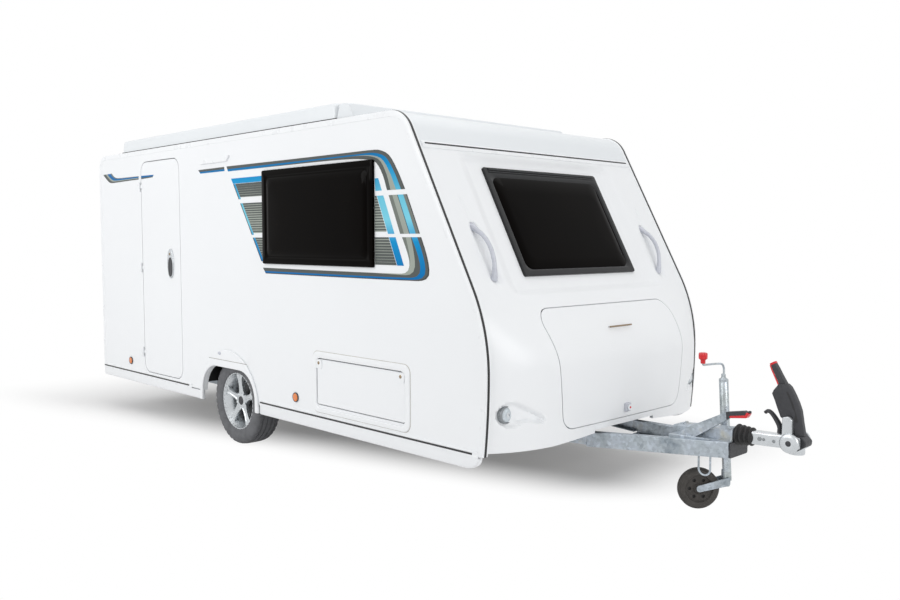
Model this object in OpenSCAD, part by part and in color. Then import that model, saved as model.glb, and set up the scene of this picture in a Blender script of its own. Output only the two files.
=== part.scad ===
// Single-axle travel caravan with a lifting roof, parked on its jockey wheel.
// Millimetres. +X points forward to the towing hitch, +Y to the left, +Z up.
// Lengths along X are written from the rear wall's outer face.

/* [Body] */
// Length of the side walls, rear face to foremost point
body_l = 4455; // [4300:5:4800]
// Width over the side walls
body_w = 1936; // [1800:2:2100]
// Thickness of walls, roof and rear panel
wall_t = 30; // [24:1:40]
// Height of the flat roof line
roof_z = 2090; // [2060:5:2200]
// Height of the walls' lower edge
wall_z0 = 340; // [320:5:360]
// Height of the floor's underside
floor_z = 396; // [390:1:410]
// Thickness of the floor
floor_t = 40; // [30:1:50]
// Radius of the rear roof corner
rear_r = 100; // [60:5:160]
// Radius where the front meets the roof
brow_r = 180; // [120:5:260]
// Lean of the front from upright, in degrees
rake = 28.4; // [26:0.2:32]
// Radius of the bulge in the front
nose_r = 900; // [700:10:1100]
// Height of the foremost point of the bulge
nose_z = 740; // [680:5:800]
// Radius of the front below its foremost point
tuck_r = 3600; // [2000:50:6000]
// Forward bow of the front at its middle, low down
bow_low = 158; // [80:2:200]
// Height of the joint between roof skin and front moulding
brow_joint_z = 1903; // [1880:1:1920]
// Height of the front moulding's lower edge
front_z0 = 356; // [345:1:370]
// Height of the notch for the drawbar
notch_z = 402; // [398:1:420]
// Height that the lower edge has reached beside the notch
notch_foot_z = 384; // [370:1:396]

/* [Windows] */
// Distance of the side window's rear edge from the body's front
side_win_back = 1950; // [1900:5:2000]
// Length of the side window
side_win_l = 1110; // [900:10:1160]
// Lower edge of the side window
side_win_z = 1260; // [1200:5:1400]
// Height of the side window
side_win_h = 573; // [450:5:620]
// How far a window pane stands proud of its wall
win_proud = 16; // [8:1:24]
// Corner radius of the windows
win_r = 14; // [8:1:40]
// Width of the front window, as a share of the body's
front_win_share = 0.524; // [0.45:0.001:0.55]
// Lower edge of the front window, along the rake from the bulge
front_win_s = 61; // [40:1:80]
// Height of the front window, measured along the rake
front_win_h = 658; // [500:2:670]
// Width of the rear window, as a share of the body's
rear_win_share = 0.533; // [0.45:0.001:0.6]
// Depth of the flat that is sunk into the front round its window
win_hollow = 20; // [10:1:24]

/* [Entrance] */
// Rear edge of the entrance door, as a share of the body's length
door_share = 0.173; // [0.167:0.0001:0.179]
// Width of the entrance door
door_w = 610; // [560:5:650]
// Lower edge of the entrance door
door_z = 380; // [374:1:400]
// Height of the entrance door
door_h = 1618; // [1500:2:1640]
// Corner radius of the entrance door
door_r = 80; // [40:5:120]
// Gap round the door and the flaps
leaf_gap = 6; // [5:0.5:10]

/* [Service flap] */
// Distance of the service flap's rear edge from the body's front
flap_back = 1385; // [1360:5:1420]
// Length of the service flap
flap_l = 788; // [600:4:820]
// Lower edge of the service flap
flap_z = 428; // [420:1:440]
// Height of the service flap
flap_h = 270; // [200:5:290]
// Border of the flap's frame
flap_border = 40; // [30:1:44]
// Thickness of the flap's frame
flap_frame_t = 5; // [3:1:8]
// Thickness of the flap
flap_t = 20; // [14:1:22]
// Corner radius of the flap
flap_r = 10; // [6:1:12]

/* [Gas locker] */
// Width of the lid near its top, as a share of the body's
lid_share_top = 0.62; // [0.56:0.005:0.64]
// Width of the lid near its bottom, as a share of the body's
lid_share_low = 0.522; // [0.48:0.001:0.55]
// Lower edge of the lid
lid_z0 = 438; // [425:1:450]
// Upper edge of the lid
lid_z1 = 1050; // [1000:2:1064]

/* [Lifting roof] */
// Rear end of the lifting roof
top_x = 415; // [350:5:480]
// Length of the roof deflector ahead of the lifting roof
deflector_l = 469; // [420:1:540]
// Distance of the lifting roof's foot from the body's sides
top_inset = 14; // [10:1:60]
// Height of the lifting roof's shell
top_h = 92; // [80:1:110]
// Slope of the lifting roof's sides, as run over the whole height
top_run = 34; // [10:1:50]
// Slope of the lifting roof's ends, as run over the whole height
top_end_run = 12; // [4:1:40]
// Thickness of the lifting roof's shell
top_t = 24; // [18:1:30]
// Thickness of the seal under the lifting roof
seal_t = 12; // [6:1:16]
// Rim of the roof left beside the roof opening
roof_rim = 190; // [150:5:240]

/* [Running gear] */
// Distance of the axle from the rear wall, as a share of the body's length
axle_share = 0.458; // [0.445:0.0001:0.47]
// Radius of the tyres
tyre_r = 298; // [285:1:305]
// Width of the tyres
tyre_w = 185; // [165:5:195]
// Distance of the tyres' outer faces from the body's sides
tyre_inset = 50; // [30:1:60]
// Radius of the rim's flange
rim_r = 195; // [180:1:205]
// Radius of the wheel spindles
spindle_r = 20; // [16:1:24]
// Radius of the axle tube
axle_r = 45; // [35:1:50]
// Distance of the axle tube ahead of the wheel spindles
arm_l = 140; // [120:5:160]
// Half length of the wheel boxes
box_hl = 350; // [330:5:370]
// Height of the wheel boxes' inside
box_z = 680; // [650:5:720]
// Radius of the wheel arch mouldings
arch_r = 383; // [370:1:400]
// Half width of the wheel arch openings
arch_hw = 345; // [335:1:350]
// Height of the top of the wheel arch openings
arch_z = 534; // [500:2:560]
// How far the arch mouldings stand proud
arch_proud = 16; // [8:1:24]

/* [Chassis] */
// Height of the chassis members
rail_h = 92; // [80:1:95]
// Width of the chassis members
rail_w = 45; // [36:1:55]
// Sheet thickness of the chassis members
rail_t = 5; // [4:0.5:8]
// Distance of the rails from the body's sides at the rear
rail_inset = 300; // [290:2:320]
// Where the rails start to run together, as a share of the body's length
bend_share = 0.55; // [0.54:0.001:0.57]
// Reach of the drawbar members ahead of the body
drawbar_reach = 810; // [760:5:860]
// Half distance over the drawbar members at their front end
drawbar_hw = 96; // [90:1:110]
// Rise of the drawbar towards its front end
drawbar_rise = 44; // [0:2:60]

/* [Hitch] */
// Height of the hitch
hitch_z = 454; // [440:1:470]
// Reach of the hitch ahead of the drawbar members
hitch_reach = 365; // [340:5:400]
// Where the tow ball sits behind the foremost point
ball_back = 66; // [60:1:80]
// Radius of the tow ball's socket
ball_r = 25; // [25:0.1:25.5]
// Radius of the stabiliser's disc covers
disc_r = 47; // [40:1:50]
// Largest radius of the bellows
bellows_r = 56; // [48:1:60]

/* [Jockey wheel] */
// Distance of the jockey tube behind the drawbar's front end
jockey_back = 150; // [140:5:200]
// Distance of the jockey tube to the left of the middle
jockey_y = 164; // [162:1:220]
// Radius of the jockey wheel
jockey_r = 108; // [95:1:115]
// Width of the jockey wheel
jockey_w = 50; // [40:2:60]
// Radius of the jockey tube
jockey_tube_r = 24; // [20:1:30]
// Trail of the jockey wheel behind its tube
jockey_trail = 143; // [138:1:160]
// Top of the jockey tube
jockey_top_z = 680; // [640:5:720]
// Heading of the trailing wheel, in degrees from +X
jockey_yaw = 225.8; // [180:0.2:270]

/* [Corner steadies] */
// Length of a corner steady
steady_l = 400; // [340:5:420]
// Distance of the steadies from the body's sides
steady_inset = 200; // [180:5:220]

/* [Hidden] */
$fn = 48;

white = "#f2f3f3";
black = "#1b1b1c";
steel = "#b4b8ba";
alloy = "#cfd2d4";

half_w = body_w / 2;
inner_hw = half_w - wall_t;
door_x = door_share * body_l;
axle_x = axle_share * body_l;
side_win_x = body_l - side_win_back;
flap_x = body_l - flap_back;
front_win_hw = front_win_share * half_w;
rear_win_hw = rear_win_share * half_w;
lid_hw_top = lid_share_top * half_w;
lid_hw_low = lid_share_low * half_w;
top_hw = half_w - top_inset;
wheel_y = half_w - tyre_inset - tyre_w / 2;
rail_hw = half_w - rail_inset;
rail_bend_x = bend_share * body_l;
drawbar_x = body_l + 2 * wall_t;
drawbar_x1 = body_l + drawbar_reach;
hitch_x = drawbar_x1 + hitch_reach;
jockey_x = drawbar_x1 - jockey_back;
steady_y = half_w - steady_inset;
// Outer edge of a rail at x, measured from the middle; the drawbar carries on along the same line
rail_slope = (rail_hw - drawbar_hw) / (drawbar_x1 - rail_bend_x);
function rail_y(x) = rail_hw - max(0, x - rail_bend_x) * rail_slope;
fit = 0.3;
seat = 0.1;
eps = 1;
rear_proud = 22;
shift_x = -(hitch_x - rear_proud) / 2;

// Centres of the arcs in the side outline
nose_c = [body_l - nose_r, nose_z];
tuck_c = [body_l - tuck_r, nose_z];
nose_steps = 12;
rake_n = [cos(rake), sin(rake)];
rake_d = [-sin(rake), cos(rake)];
brow_z = roof_z - brow_r;
brow_c = [nose_c[0] + (nose_r - brow_r - (brow_z - nose_z) * sin(rake)) / cos(rake), brow_z];
rear_c = [rear_r, roof_z - rear_r];
rake_foot = nose_c + nose_r * rake_n;
brow_joint = rake_foot + rake_d * (brow_joint_z - rake_foot[1]) / cos(rake);

function arc(c, r, a0, a1, n) = [for (i = [0:n]) let (a = a0 + (a1 - a0) * i / n) c + r * [cos(a), sin(a)]];
function reverse(p) = [for (i = [len(p) - 1:-1:0]) p[i]];
function unit(v) = v / norm(v);
function rect(x0, x1, z0, z1) = [[x0, z0], [x1, z0], [x1, z1], [x0, z1]];
function ease(t) = let (c = max(0, min(1, t))) c * c * (3 - 2 * c);

// Corner b between a and c, rounded to radius r
function corner(a, b, c, r, n) =
    let (u = unit(a - b), v = unit(c - b), h = acos(max(-1, min(1, u * v))) / 2,
         o = b + unit(u + v) * r / sin(h),
         p = b + u * r / tan(h) - o, q = b + v * r / tan(h) - o,
         a0 = atan2(p[1], p[0]), d = atan2(q[1], q[0]) - a0,
         turn = d > 180 ? d - 360 : d < -180 ? d + 360 : d)
    arc(o, r, a0, a0 + turn, n);
function rounded(p, r, n = 6) =
    [for (i = [0:len(p) - 1]) each corner(p[(i + len(p) - 1) % len(p)], p[i], p[(i + 1) % len(p)], r[i], n)];
function soft_rect(x0, x1, z0, z1, r, n = 6) = rounded(rect(x0, x1, z0, z1), [r, r, r, r], n);

// Side outline of the body, set in by d, cut off at height z0
function side_outline(d, z0) = concat([[d, z0]],
    arc(tuck_c, tuck_r - d, asin((z0 - nose_z) / (tuck_r - d)), 0, 6),
    arc(nose_c, nose_r - d, rake / nose_steps, rake, nose_steps - 1),
    arc(brow_c, brow_r - d, rake, 90, 10),
    arc(rear_c, rear_r - d, 90, 180, 8));
// The part of that outline that the roof skin follows, from the brow joint to the rear corner
function roof_path(d) = concat([brow_joint - d * rake_n],
    arc(brow_c, brow_r - d, rake, 90, 10), arc(rear_c, rear_r - d, 90, 180, 8));

// The front moulding: rows at heights and columns across, bowed forward, with a sunk flat round the window
hollow_edge = 28;
hollow_rim = 110;
hollow_hw = front_win_hw + hollow_rim;
hollow_z0 = 1170;
hollow_z1 = 1834;
function even(a, b, n) = [for (i = [0:n]) a + (b - a) * i / n];
front_zs = concat(even(front_z0, hollow_z0 - hollow_edge, 18), even(hollow_z0, hollow_z1, 6),
    [hollow_z1 + hollow_edge, brow_joint_z]);
right_ys = even(-inner_hw, -hollow_hw - hollow_edge, 7);
front_ys = concat(right_ys, even(-hollow_hw, hollow_hw, 12), reverse(-right_ys));
bow_fade_z0 = 800;
bow_fade_z1 = 1090;
bow_power = 5;
function bow(z) = bow_low * ease((bow_fade_z1 - z) / (bow_fade_z1 - bow_fade_z0));
function bow_share(y) = 1 - pow(min(1, abs(y) / inner_hw), bow_power);
// Outer surface of the front moulding
function rake_x(z) = z > rake_foot[1] ? rake_foot[0] - (z - rake_foot[1]) * tan(rake)
    : let (r = z > nose_z ? nose_r : tuck_r) body_l - r + sqrt(r * r - (z - nose_z) * (z - nose_z));
function sunk(y, z) = ease(1 + min(hollow_hw - abs(y), z - hollow_z0, hollow_z1 - z) / hollow_edge);
function front_x(y, z) = rake_x(z) + bow(z) * bow_share(y) - win_hollow * sunk(y, z);
// Angle of the front's outward normal, up from level
function front_tilt(z) = z > rake_foot[1] ? rake : asin((z - nose_z) / (z > nose_z ? nose_r : tuck_r));

module from_rear() translate([shift_x, 0, 0]) children();
// A flat outline in X and Z, made into a plate from y0 to y0 + t
module plate(y0, t) translate([0, y0 + t, 0]) rotate([90, 0, 0]) linear_extrude(t) children();
// A flat outline in Y and Z, made into a bar from x0 to x0 + l
module bar(x0, l) translate([x0, 0, 0]) rotate([90, 0, 90]) linear_extrude(l) children();
// Right side as drawn (side = 1) or mirrored to the left (side = -1)
module on_side(side) if (side > 0) children(); else mirror([0, 1, 0]) children();
module both_sides() for (side = [1, -1]) on_side(side) children();

module front_shell() {
    front_rows = len(front_zs) - 1;
    front_cols = len(front_ys) - 1;
    n = front_cols + 1;
    base = (front_rows + 1) * n;
    skin = function (d) [for (z = front_zs) for (y = front_ys)
        [front_x(y, z) - d * cos(front_tilt(z)), y, z - d * sin(front_tilt(z))]];
    quads = concat(
        [for (i = [0:front_rows - 1]) for (j = [0:front_cols - 1])
            [i * n + j, i * n + n + j, i * n + n + j + 1, i * n + j + 1]],
        [for (i = [0:front_rows - 1]) for (j = [0:front_cols - 1])
            [base + i * n + j, base + i * n + j + 1, base + i * n + n + j + 1, base + i * n + n + j]],
        [for (j = [0:front_cols - 1]) [j, j + 1, base + j + 1, base + j]],
        [for (j = [0:front_cols - 1]) let (k = front_rows * n + j) [k + 1, k, base + k, base + k + 1]],
        [for (i = [0:front_rows - 1]) let (k = i * n) [k, base + k, base + k + n, k + n]],
        [for (i = [0:front_rows - 1]) let (k = i * n + front_cols) [k + n, base + k + n, base + k, k]]);
    polyhedron(concat(skin(0), skin(wall_t)), [for (q = quads) each [[q[0], q[1], q[2]], [q[0], q[2], q[3]]]]);
}

// Openings that a wall and the piece in it share
module side_window_shape() polygon(soft_rect(side_win_x, side_win_x + side_win_l,
    side_win_z, side_win_z + side_win_h, win_r));
module door_shape(gap) polygon(soft_rect(door_x - gap, door_x + door_w + gap,
    door_z - gap, door_z + door_h + gap, door_r + gap));
module flap_shape(gap) polygon(soft_rect(flap_x - gap, flap_x + flap_l + gap,
    flap_z - gap, flap_z + flap_h + gap, flap_r + gap));
arch_corner_r = 190;
module arch_opening() polygon(rounded(rect(axle_x - arch_hw, axle_x + arch_hw, 0, arch_z),
    [eps, eps, arch_corner_r, arch_corner_r], 10));
lid_r_top = 60;
lid_r_low = 85;
// The lid's upper corners are rounder than the opening's, so that they swing clear of it
lid_corner_ease = 14;
module lid_shape(gap, r_top) polygon(rounded([
    [-lid_hw_low - gap, lid_z0 - gap], [lid_hw_low + gap, lid_z0 - gap],
    [lid_hw_top + gap, lid_z1 + gap], [-lid_hw_top - gap, lid_z1 + gap]],
    [lid_r_low + gap, lid_r_low + gap, r_top, r_top]));
rear_win_z = 1250;
rear_win_h = 560;
module rear_window_shape()
    polygon(soft_rect(-rear_win_hw, rear_win_hw, rear_win_z, rear_win_z + rear_win_h, win_r));

// The plane of the front window: origin at its lower edge on the rake, local X across, local Y up the rake
win_plane = rake_foot + rake_d * front_win_s - rake_n * win_hollow;
module on_front_window() translate([win_plane[0], 0, win_plane[1]]) rotate([90 - rake, 0, 90]) children();
win_depth = 70;
module front_window_block(depth, proud) on_front_window() translate([0, 0, -depth])
    linear_extrude(depth + proud) polygon(soft_rect(-front_win_hw, front_win_hw, 0, front_win_h, win_r));

// Hinges: a pin between two knuckles on the fixed side, one knuckle on the moving side.
// Local Z is the axis, local Y points into the wall, local X to the moving leaf.
knuckle_r = 8;
knuckle_h = 24;
pin_r = 4;
hinge_out = 9;
hinge_leaf_l = 40;
hinge_leaf_t = 3;
module hinge_fixed() {
    for (s = [-1, 1]) translate([0, 0, s * (knuckle_h + fit) - knuckle_h / 2]) {
        cylinder(r = knuckle_r, h = knuckle_h);
        translate([-hinge_leaf_l, hinge_out - hinge_leaf_t, 0]) cube([hinge_leaf_l, hinge_leaf_t, knuckle_h]);
    }
    translate([0, 0, -knuckle_h]) cylinder(r = pin_r, h = 2 * knuckle_h);
}
module hinge_moving() difference() {
    union() {
        translate([0, 0, -knuckle_h / 2]) cylinder(r = knuckle_r, h = knuckle_h);
        translate([0, hinge_out - hinge_leaf_t, -knuckle_h / 2]) cube([hinge_leaf_l, hinge_leaf_t, knuckle_h]);
    }
    translate([0, 0, -knuckle_h]) cylinder(r = pin_r + fit, h = 2 * knuckle_h);
}
hinge_inset = 16;
door_hinge_zs = [530, 1190, 1815];
module at_door_hinges() for (z = door_hinge_zs)
    translate([door_x - hinge_inset, -half_w - hinge_out, z]) children();
// Service flap hinge: pins of the wall in the flap's lower corners
flap_pin_r = 3;
flap_pin_l = 30;
flap_axis_y = -half_w + 5;
flap_axis_z = flap_z + 12;
module at_flap_pins() for (x = [flap_x - leaf_gap, flap_x + flap_l + leaf_gap])
    translate([x, flap_axis_y, flap_axis_z]) rotate([0, 90, 0]) children();

// Gas locker lid hinge: eyes of the lid on pins in the gap above it
lid_axis_rise = 6;
lid_axis_depth = 10;
lid_axis_z = lid_z1 + leaf_gap + lid_axis_rise;
lid_axis_x = front_x(0, lid_z1) - lid_axis_depth;
lid_pin_r = 3;
lid_eye_r = 5.5;
lid_eye_w = 24;
lid_hinge_y = 150;
lid_ear_t = 8;
lid_pocket_h = 22;

module floor_panel() from_rear() color("#8d8a84") difference() {
    intersection() {
        translate([0, -inner_hw, floor_z]) cube([body_l, 2 * inner_hw, floor_t]);
        plate(-inner_hw, 2 * inner_hw) polygon(side_outline(wall_t, floor_z - eps));
    }
    both_sides() wheel_box_block(box_wall);
}

module side_wall(door) difference() {
    plate(-half_w, wall_t) polygon(side_outline(0, wall_z0));
    plate(-half_w - eps, wall_t + 2 * eps) union() {
        side_window_shape();
        arch_opening();
        if (door) {
            door_shape(leaf_gap);
            flap_shape(leaf_gap);
        }
    }
}
module side_wall_right() from_rear() color(white) {
    side_wall(true);
    at_flap_pins() cylinder(r = flap_pin_r, h = 2 * flap_pin_l, center = true);
}
module side_wall_left() from_rear() color(white) on_side(-1) side_wall(false);

// The notch clears the rails where they pass under the front
notch_clear = 2;
notch_hw = rail_y(drawbar_x - 4 * wall_t) + notch_clear;
lamp_r = 45;
lamp_y = half_w - 120;
lamp_z = 545;
lamp_depth = 70;
// Dish round a lamp, with a scoop that runs out of it towards the middle
dish_r = 66;
dish_depth = 18;
scoop_l = 170;
scoop_drop = 55;
scoop_r = 50;
scoop_tip_r = 16;
module at_lamps() both_sides()
    translate([front_x(lamp_y, lamp_z) - dish_depth, -lamp_y, lamp_z]) rotate([0, 90, 0]) children();
module lamp_hollow() both_sides() {
    translate([front_x(lamp_y, lamp_z) - dish_depth, -lamp_y, lamp_z]) rotate([0, 90, 0])
        cylinder(r1 = dish_r - dish_depth / 2, r2 = dish_r + dish_depth, h = dish_depth * 3);
    tip_z = lamp_z - scoop_drop;
    tip = [front_x(lamp_y - scoop_l, tip_z) + scoop_tip_r / 2, scoop_l - lamp_y, tip_z];
    start = [front_x(lamp_y, lamp_z) + scoop_r - dish_depth, -lamp_y, lamp_z];
    run = tip - start;
    translate(start) rotate([0, acos(run[2] / norm(run)), atan2(run[1], run[0])]) {
        cylinder(r1 = scoop_r, r2 = scoop_tip_r, h = norm(run));
        translate([0, 0, norm(run)]) sphere(r = scoop_tip_r);
    }
}

handle_y = half_w - 188;
handle_z = 1352;
handle_span = 300;
handle_rise = 52;
handle_r = 13;
handle_foot_r = 20;
handle_lift = 5;
handle_hollow_r = 60;
handle_hollow = 16;
module at_handles() both_sides()
    translate([front_x(handle_y, handle_z), -handle_y, handle_z]) rotate([0, -rake, 0]) children();

module front_panel() from_rear() color(white) {
    difference() {
        front_shell();
        bar(body_l - nose_r, 2 * nose_r) lid_shape(leaf_gap, lid_r_top + leaf_gap);
        front_window_block(2 * win_depth, 2 * win_depth);
        bar(body_l - nose_r, 2 * nose_r) polygon([[-half_w, 0], [half_w, 0], [half_w, front_z0],
            [notch_hw, notch_foot_z], [notch_hw, notch_z], [-notch_hw, notch_z], [-notch_hw, notch_foot_z],
            [-half_w, front_z0]]);
        lamp_hollow();
        at_handles() translate([handle_hollow_r - handle_hollow, 0, -handle_span / 2]) {
            cylinder(r = handle_hollow_r, h = handle_span);
            for (s = [0, 1]) translate([0, 0, s * handle_span]) sphere(r = handle_hollow_r);
        }
        at_lamps() translate([0, 0, -lamp_depth - eps]) cylinder(r = lamp_r, h = 2 * lamp_depth);
        at_handles() for (s = [-1, 1]) translate([-wall_t * 3, 0, s * handle_span / 2]) rotate([0, 90, 0])
            cylinder(r = handle_foot_r, h = wall_t * 6);
        for (s = [-1, 1]) translate([lid_axis_x - wall_t * 2, s * lid_hinge_y - lid_eye_w / 2 - fit, lid_z1])
            cube([wall_t * 4, lid_eye_w + 2 * fit, lid_pocket_h]);
    }
    for (s = [-1, 1]) translate([lid_axis_x, s * lid_hinge_y, lid_axis_z]) rotate([90, 0, 0])
        cylinder(r = lid_pin_r, h = lid_eye_w + 2 * lid_ear_t, center = true);
}

module rear_panel() from_rear() color(white) difference() {
    translate([0, -inner_hw, wall_z0]) cube([wall_t, 2 * inner_hw, rear_c[1] - wall_z0]);
    bar(-eps, wall_t + 2 * eps) rear_window_shape();
}

deflector_gap = 12;
top_x1 = brow_c[0] - deflector_l - deflector_gap;
top_l = top_x1 - top_x;
hole_x0 = top_x + roof_rim - 60;
hole_x1 = top_x1 - roof_rim + 60;
hole_hw = inner_hw - roof_rim;
module roof_panel() from_rear() color(white) difference() {
    plate(-inner_hw, 2 * inner_hw) polygon(concat(roof_path(0), reverse(roof_path(wall_t))));
    translate([hole_x0, -hole_hw, roof_z - 2 * wall_t]) cube([hole_x1 - hole_x0, 2 * hole_hw, 4 * wall_t]);
}

top_z = roof_z + seal_t;
seal_w = 16;
module roof_seal() from_rear() color(black) difference() {
    translate([top_x, -top_hw, roof_z]) cube([top_l, 2 * top_hw, seal_t]);
    translate([top_x + seal_w, -top_hw + seal_w, roof_z - eps])
        cube([top_l - 2 * seal_w, 2 * (top_hw - seal_w), seal_t + 2 * eps]);
}

// Shell of the lifting roof, set in by d on every side but its foot
module top_block(d, z0) intersection() {
    plate(-half_w, body_w) polygon([[top_x + d, z0], [top_x1 - d, z0],
        [top_x1 - d - top_end_run, top_z + top_h - d], [top_x + d + top_end_run, top_z + top_h - d]]);
    bar(0, body_l) polygon([[-top_hw + d, z0], [top_hw - d, z0],
        [top_hw - d - top_run, top_z + top_h - d], [-top_hw + d + top_run, top_z + top_h - d]]);
}
module lifting_roof() from_rear() color(white) difference() {
    top_block(0, top_z);
    top_block(top_t, top_z - eps);
}

canvas_t = 8;
canvas_clear = 12;
module roof_canvas() from_rear() color("#c9c6bd") {
    h = top_z + top_h - top_t - canvas_clear - roof_z;
    difference() {
        translate([hole_x0 - canvas_t, -hole_hw - canvas_t, roof_z])
            cube([hole_x1 - hole_x0 + 2 * canvas_t, 2 * (hole_hw + canvas_t), h]);
        translate([hole_x0, -hole_hw, roof_z - eps])
            cube([hole_x1 - hole_x0, 2 * hole_hw, h + 2 * eps]);
    }
}

deflector_crest = 45;
module roof_deflector() from_rear() color(white) intersection() {
    plate(-half_w, body_w) polygon([[top_x1 + deflector_gap, roof_z], [brow_c[0], roof_z],
        [top_x1 + deflector_gap + deflector_crest + top_end_run, top_z + top_h],
        [top_x1 + deflector_gap + top_end_run, top_z + top_h]]);
    bar(0, body_l) polygon([[-top_hw, roof_z], [top_hw, roof_z],
        [top_hw - top_run, top_z + top_h], [-top_hw + top_run, top_z + top_h]]);
}

module side_window() plate(-half_w - win_proud, wall_t + win_proud) side_window_shape();
module side_window_right() from_rear() color(black) side_window();
module side_window_left() from_rear() color(black) on_side(-1) side_window();
module front_window() from_rear() color(black) front_window_block(win_depth, win_proud);
module rear_window() from_rear() color(black) bar(-win_proud, wall_t + win_proud) rear_window_shape();

module door_hinges() from_rear() color(alloy) at_door_hinges() hinge_fixed();

module entrance_door() from_rear() color(white) {
    plate(-half_w, wall_t) door_shape(0);
    at_door_hinges() hinge_moving();
}

door_handle_x = door_x + door_w - 145;
door_handle_z = 1230;
door_handle_h = 220;
door_handle_w = 96;
door_handle_t = 14;
module door_handle() from_rear() color("#55585b") plate(-half_w - door_handle_t, door_handle_t) difference() {
    polygon(soft_rect(door_handle_x - door_handle_w / 2, door_handle_x + door_handle_w / 2,
        door_handle_z - door_handle_h / 2, door_handle_z + door_handle_h / 2, door_handle_w * 0.49, 10));
    polygon(soft_rect(door_handle_x - door_handle_w / 4, door_handle_x + door_handle_w / 4,
        door_handle_z - door_handle_h / 3, door_handle_z + door_handle_h / 3, door_handle_w * 0.24, 8));
}

module flap_frame() from_rear() color(white) plate(-half_w - flap_frame_t, flap_frame_t) difference() {
    flap_shape(flap_border + leaf_gap);
    flap_shape(leaf_gap);
}

module service_flap() from_rear() color(white) difference() {
    plate(-half_w, flap_t) flap_shape(0);
    at_flap_pins() cylinder(r = flap_pin_r + fit, h = 2 * (flap_pin_l + 1), center = true);
}

module locker_lid() from_rear() color(white) difference() {
    union() {
        intersection() {
            front_shell();
            bar(body_l - nose_r, 2 * nose_r) lid_shape(0, lid_r_top + lid_corner_ease);
        }
        for (s = [-1, 1]) translate([lid_axis_x, s * lid_hinge_y, lid_axis_z]) {
            rotate([90, 0, 0]) cylinder(r = lid_eye_r, h = lid_eye_w, center = true);
            translate([-lid_eye_r, -lid_eye_w / 2, -4 * lid_eye_r]) cube([lid_eye_r, lid_eye_w, 4 * lid_eye_r]);
        }
    }
    for (s = [-1, 1]) translate([lid_axis_x, s * lid_hinge_y, lid_axis_z]) rotate([90, 0, 0])
        cylinder(r = lid_pin_r + fit, h = 2 * lid_eye_w, center = true);
    lock_barrel(seat, 2 * wall_t);
    catch_posts(seat, 2 * wall_t);
}

// Lock barrel and bar handle of the lid, both seated in holes of the lid that are wider by d
lock_z = 490;
lock_r = 16;
lock_proud = 22;
catch_z = 932;
catch_hl = 95;
catch_r = 5;
catch_proud = 16;
catch_post_y = 74;
catch_post_r = 4;
module lock_barrel(d, proud) translate([front_x(0, lock_z) - wall_t, 0, lock_z]) rotate([0, 90, 0])
    cylinder(r = lock_r + d, h = wall_t + proud);
module catch_posts(d, proud) for (s = [-1, 1])
    translate([front_x(0, catch_z) - wall_t / 2, s * catch_post_y, catch_z]) rotate([0, 90, 0])
        cylinder(r = catch_post_r + d, h = wall_t / 2 + proud);
module locker_lock() from_rear() color(alloy) {
    lock_barrel(0, lock_proud);
    catch_posts(0, catch_proud);
    translate([front_x(0, catch_z) + catch_proud, 0, catch_z]) rotate([90, 0, 0])
        cylinder(r = catch_r, h = 2 * catch_hl, center = true);
}

handle_arc_r = (handle_span * handle_span / 4 + handle_rise * handle_rise) / (2 * handle_rise);
handle_arc_a = 2 * asin(handle_span / 2 / handle_arc_r);
module grab_handles() from_rear() color("#dadcde") at_handles() {
    translate([handle_rise + handle_lift - handle_arc_r, 0, 0]) rotate([90, 0, 0])
        rotate([0, 0, -handle_arc_a / 2]) rotate_extrude(angle = handle_arc_a)
            translate([handle_arc_r, 0]) circle(r = handle_r);
    for (s = [-1, 1]) translate([-wall_t, 0, s * handle_span / 2]) rotate([0, 90, 0])
        cylinder(r = handle_foot_r - seat, h = wall_t + handle_lift + handle_r / 2);
}

module front_lamps() from_rear() color("#e8ecee") at_lamps()
    translate([0, 0, -lamp_depth]) cylinder(r = lamp_r - seat, h = lamp_depth);

rear_lamp_y = half_w - 130;
rear_lamp_z = 520;
rear_lamp_w = 120;
rear_lamp_h = 300;
rear_lamp_r = 40;
module rear_lamps() from_rear() color("#a01818") both_sides() bar(-rear_proud, rear_proud)
    polygon(soft_rect(-rear_lamp_y - rear_lamp_w / 2, -rear_lamp_y + rear_lamp_w / 2,
        rear_lamp_z - rear_lamp_h / 2, rear_lamp_z + rear_lamp_h / 2, rear_lamp_r));

marker_share = 0.696;
front_marker_x = axle_x + arch_r + marker_share * (flap_x - flap_border - leaf_gap - axle_x - arch_r);
marker_xs = [door_x - 252, front_marker_x];
marker_z = 436;
marker_r = 30;
marker_t = 12;
module side_markers() from_rear() color("#e8761c") both_sides() for (x = marker_xs)
    translate([x, -half_w, marker_z]) rotate([90, 0, 0]) cylinder(r = marker_r, h = marker_t);

awning_lamp_gap = 331;
awning_lamp_drop = 160;
awning_lamp_x = door_x + door_w + awning_lamp_gap;
awning_lamp_l = 388;
awning_lamp_z = roof_z - awning_lamp_drop;
awning_lamp_h = 38;
awning_lamp_t = 12;
module awning_lamp() from_rear() color("#c4c6d0") plate(-half_w - awning_lamp_t, awning_lamp_t)
    polygon([[awning_lamp_x, awning_lamp_z], [awning_lamp_x + awning_lamp_l - awning_lamp_h, awning_lamp_z],
        [awning_lamp_x + awning_lamp_l, awning_lamp_z + awning_lamp_h],
        [awning_lamp_x + awning_lamp_h / 2, awning_lamp_z + awning_lamp_h]]);

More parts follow.
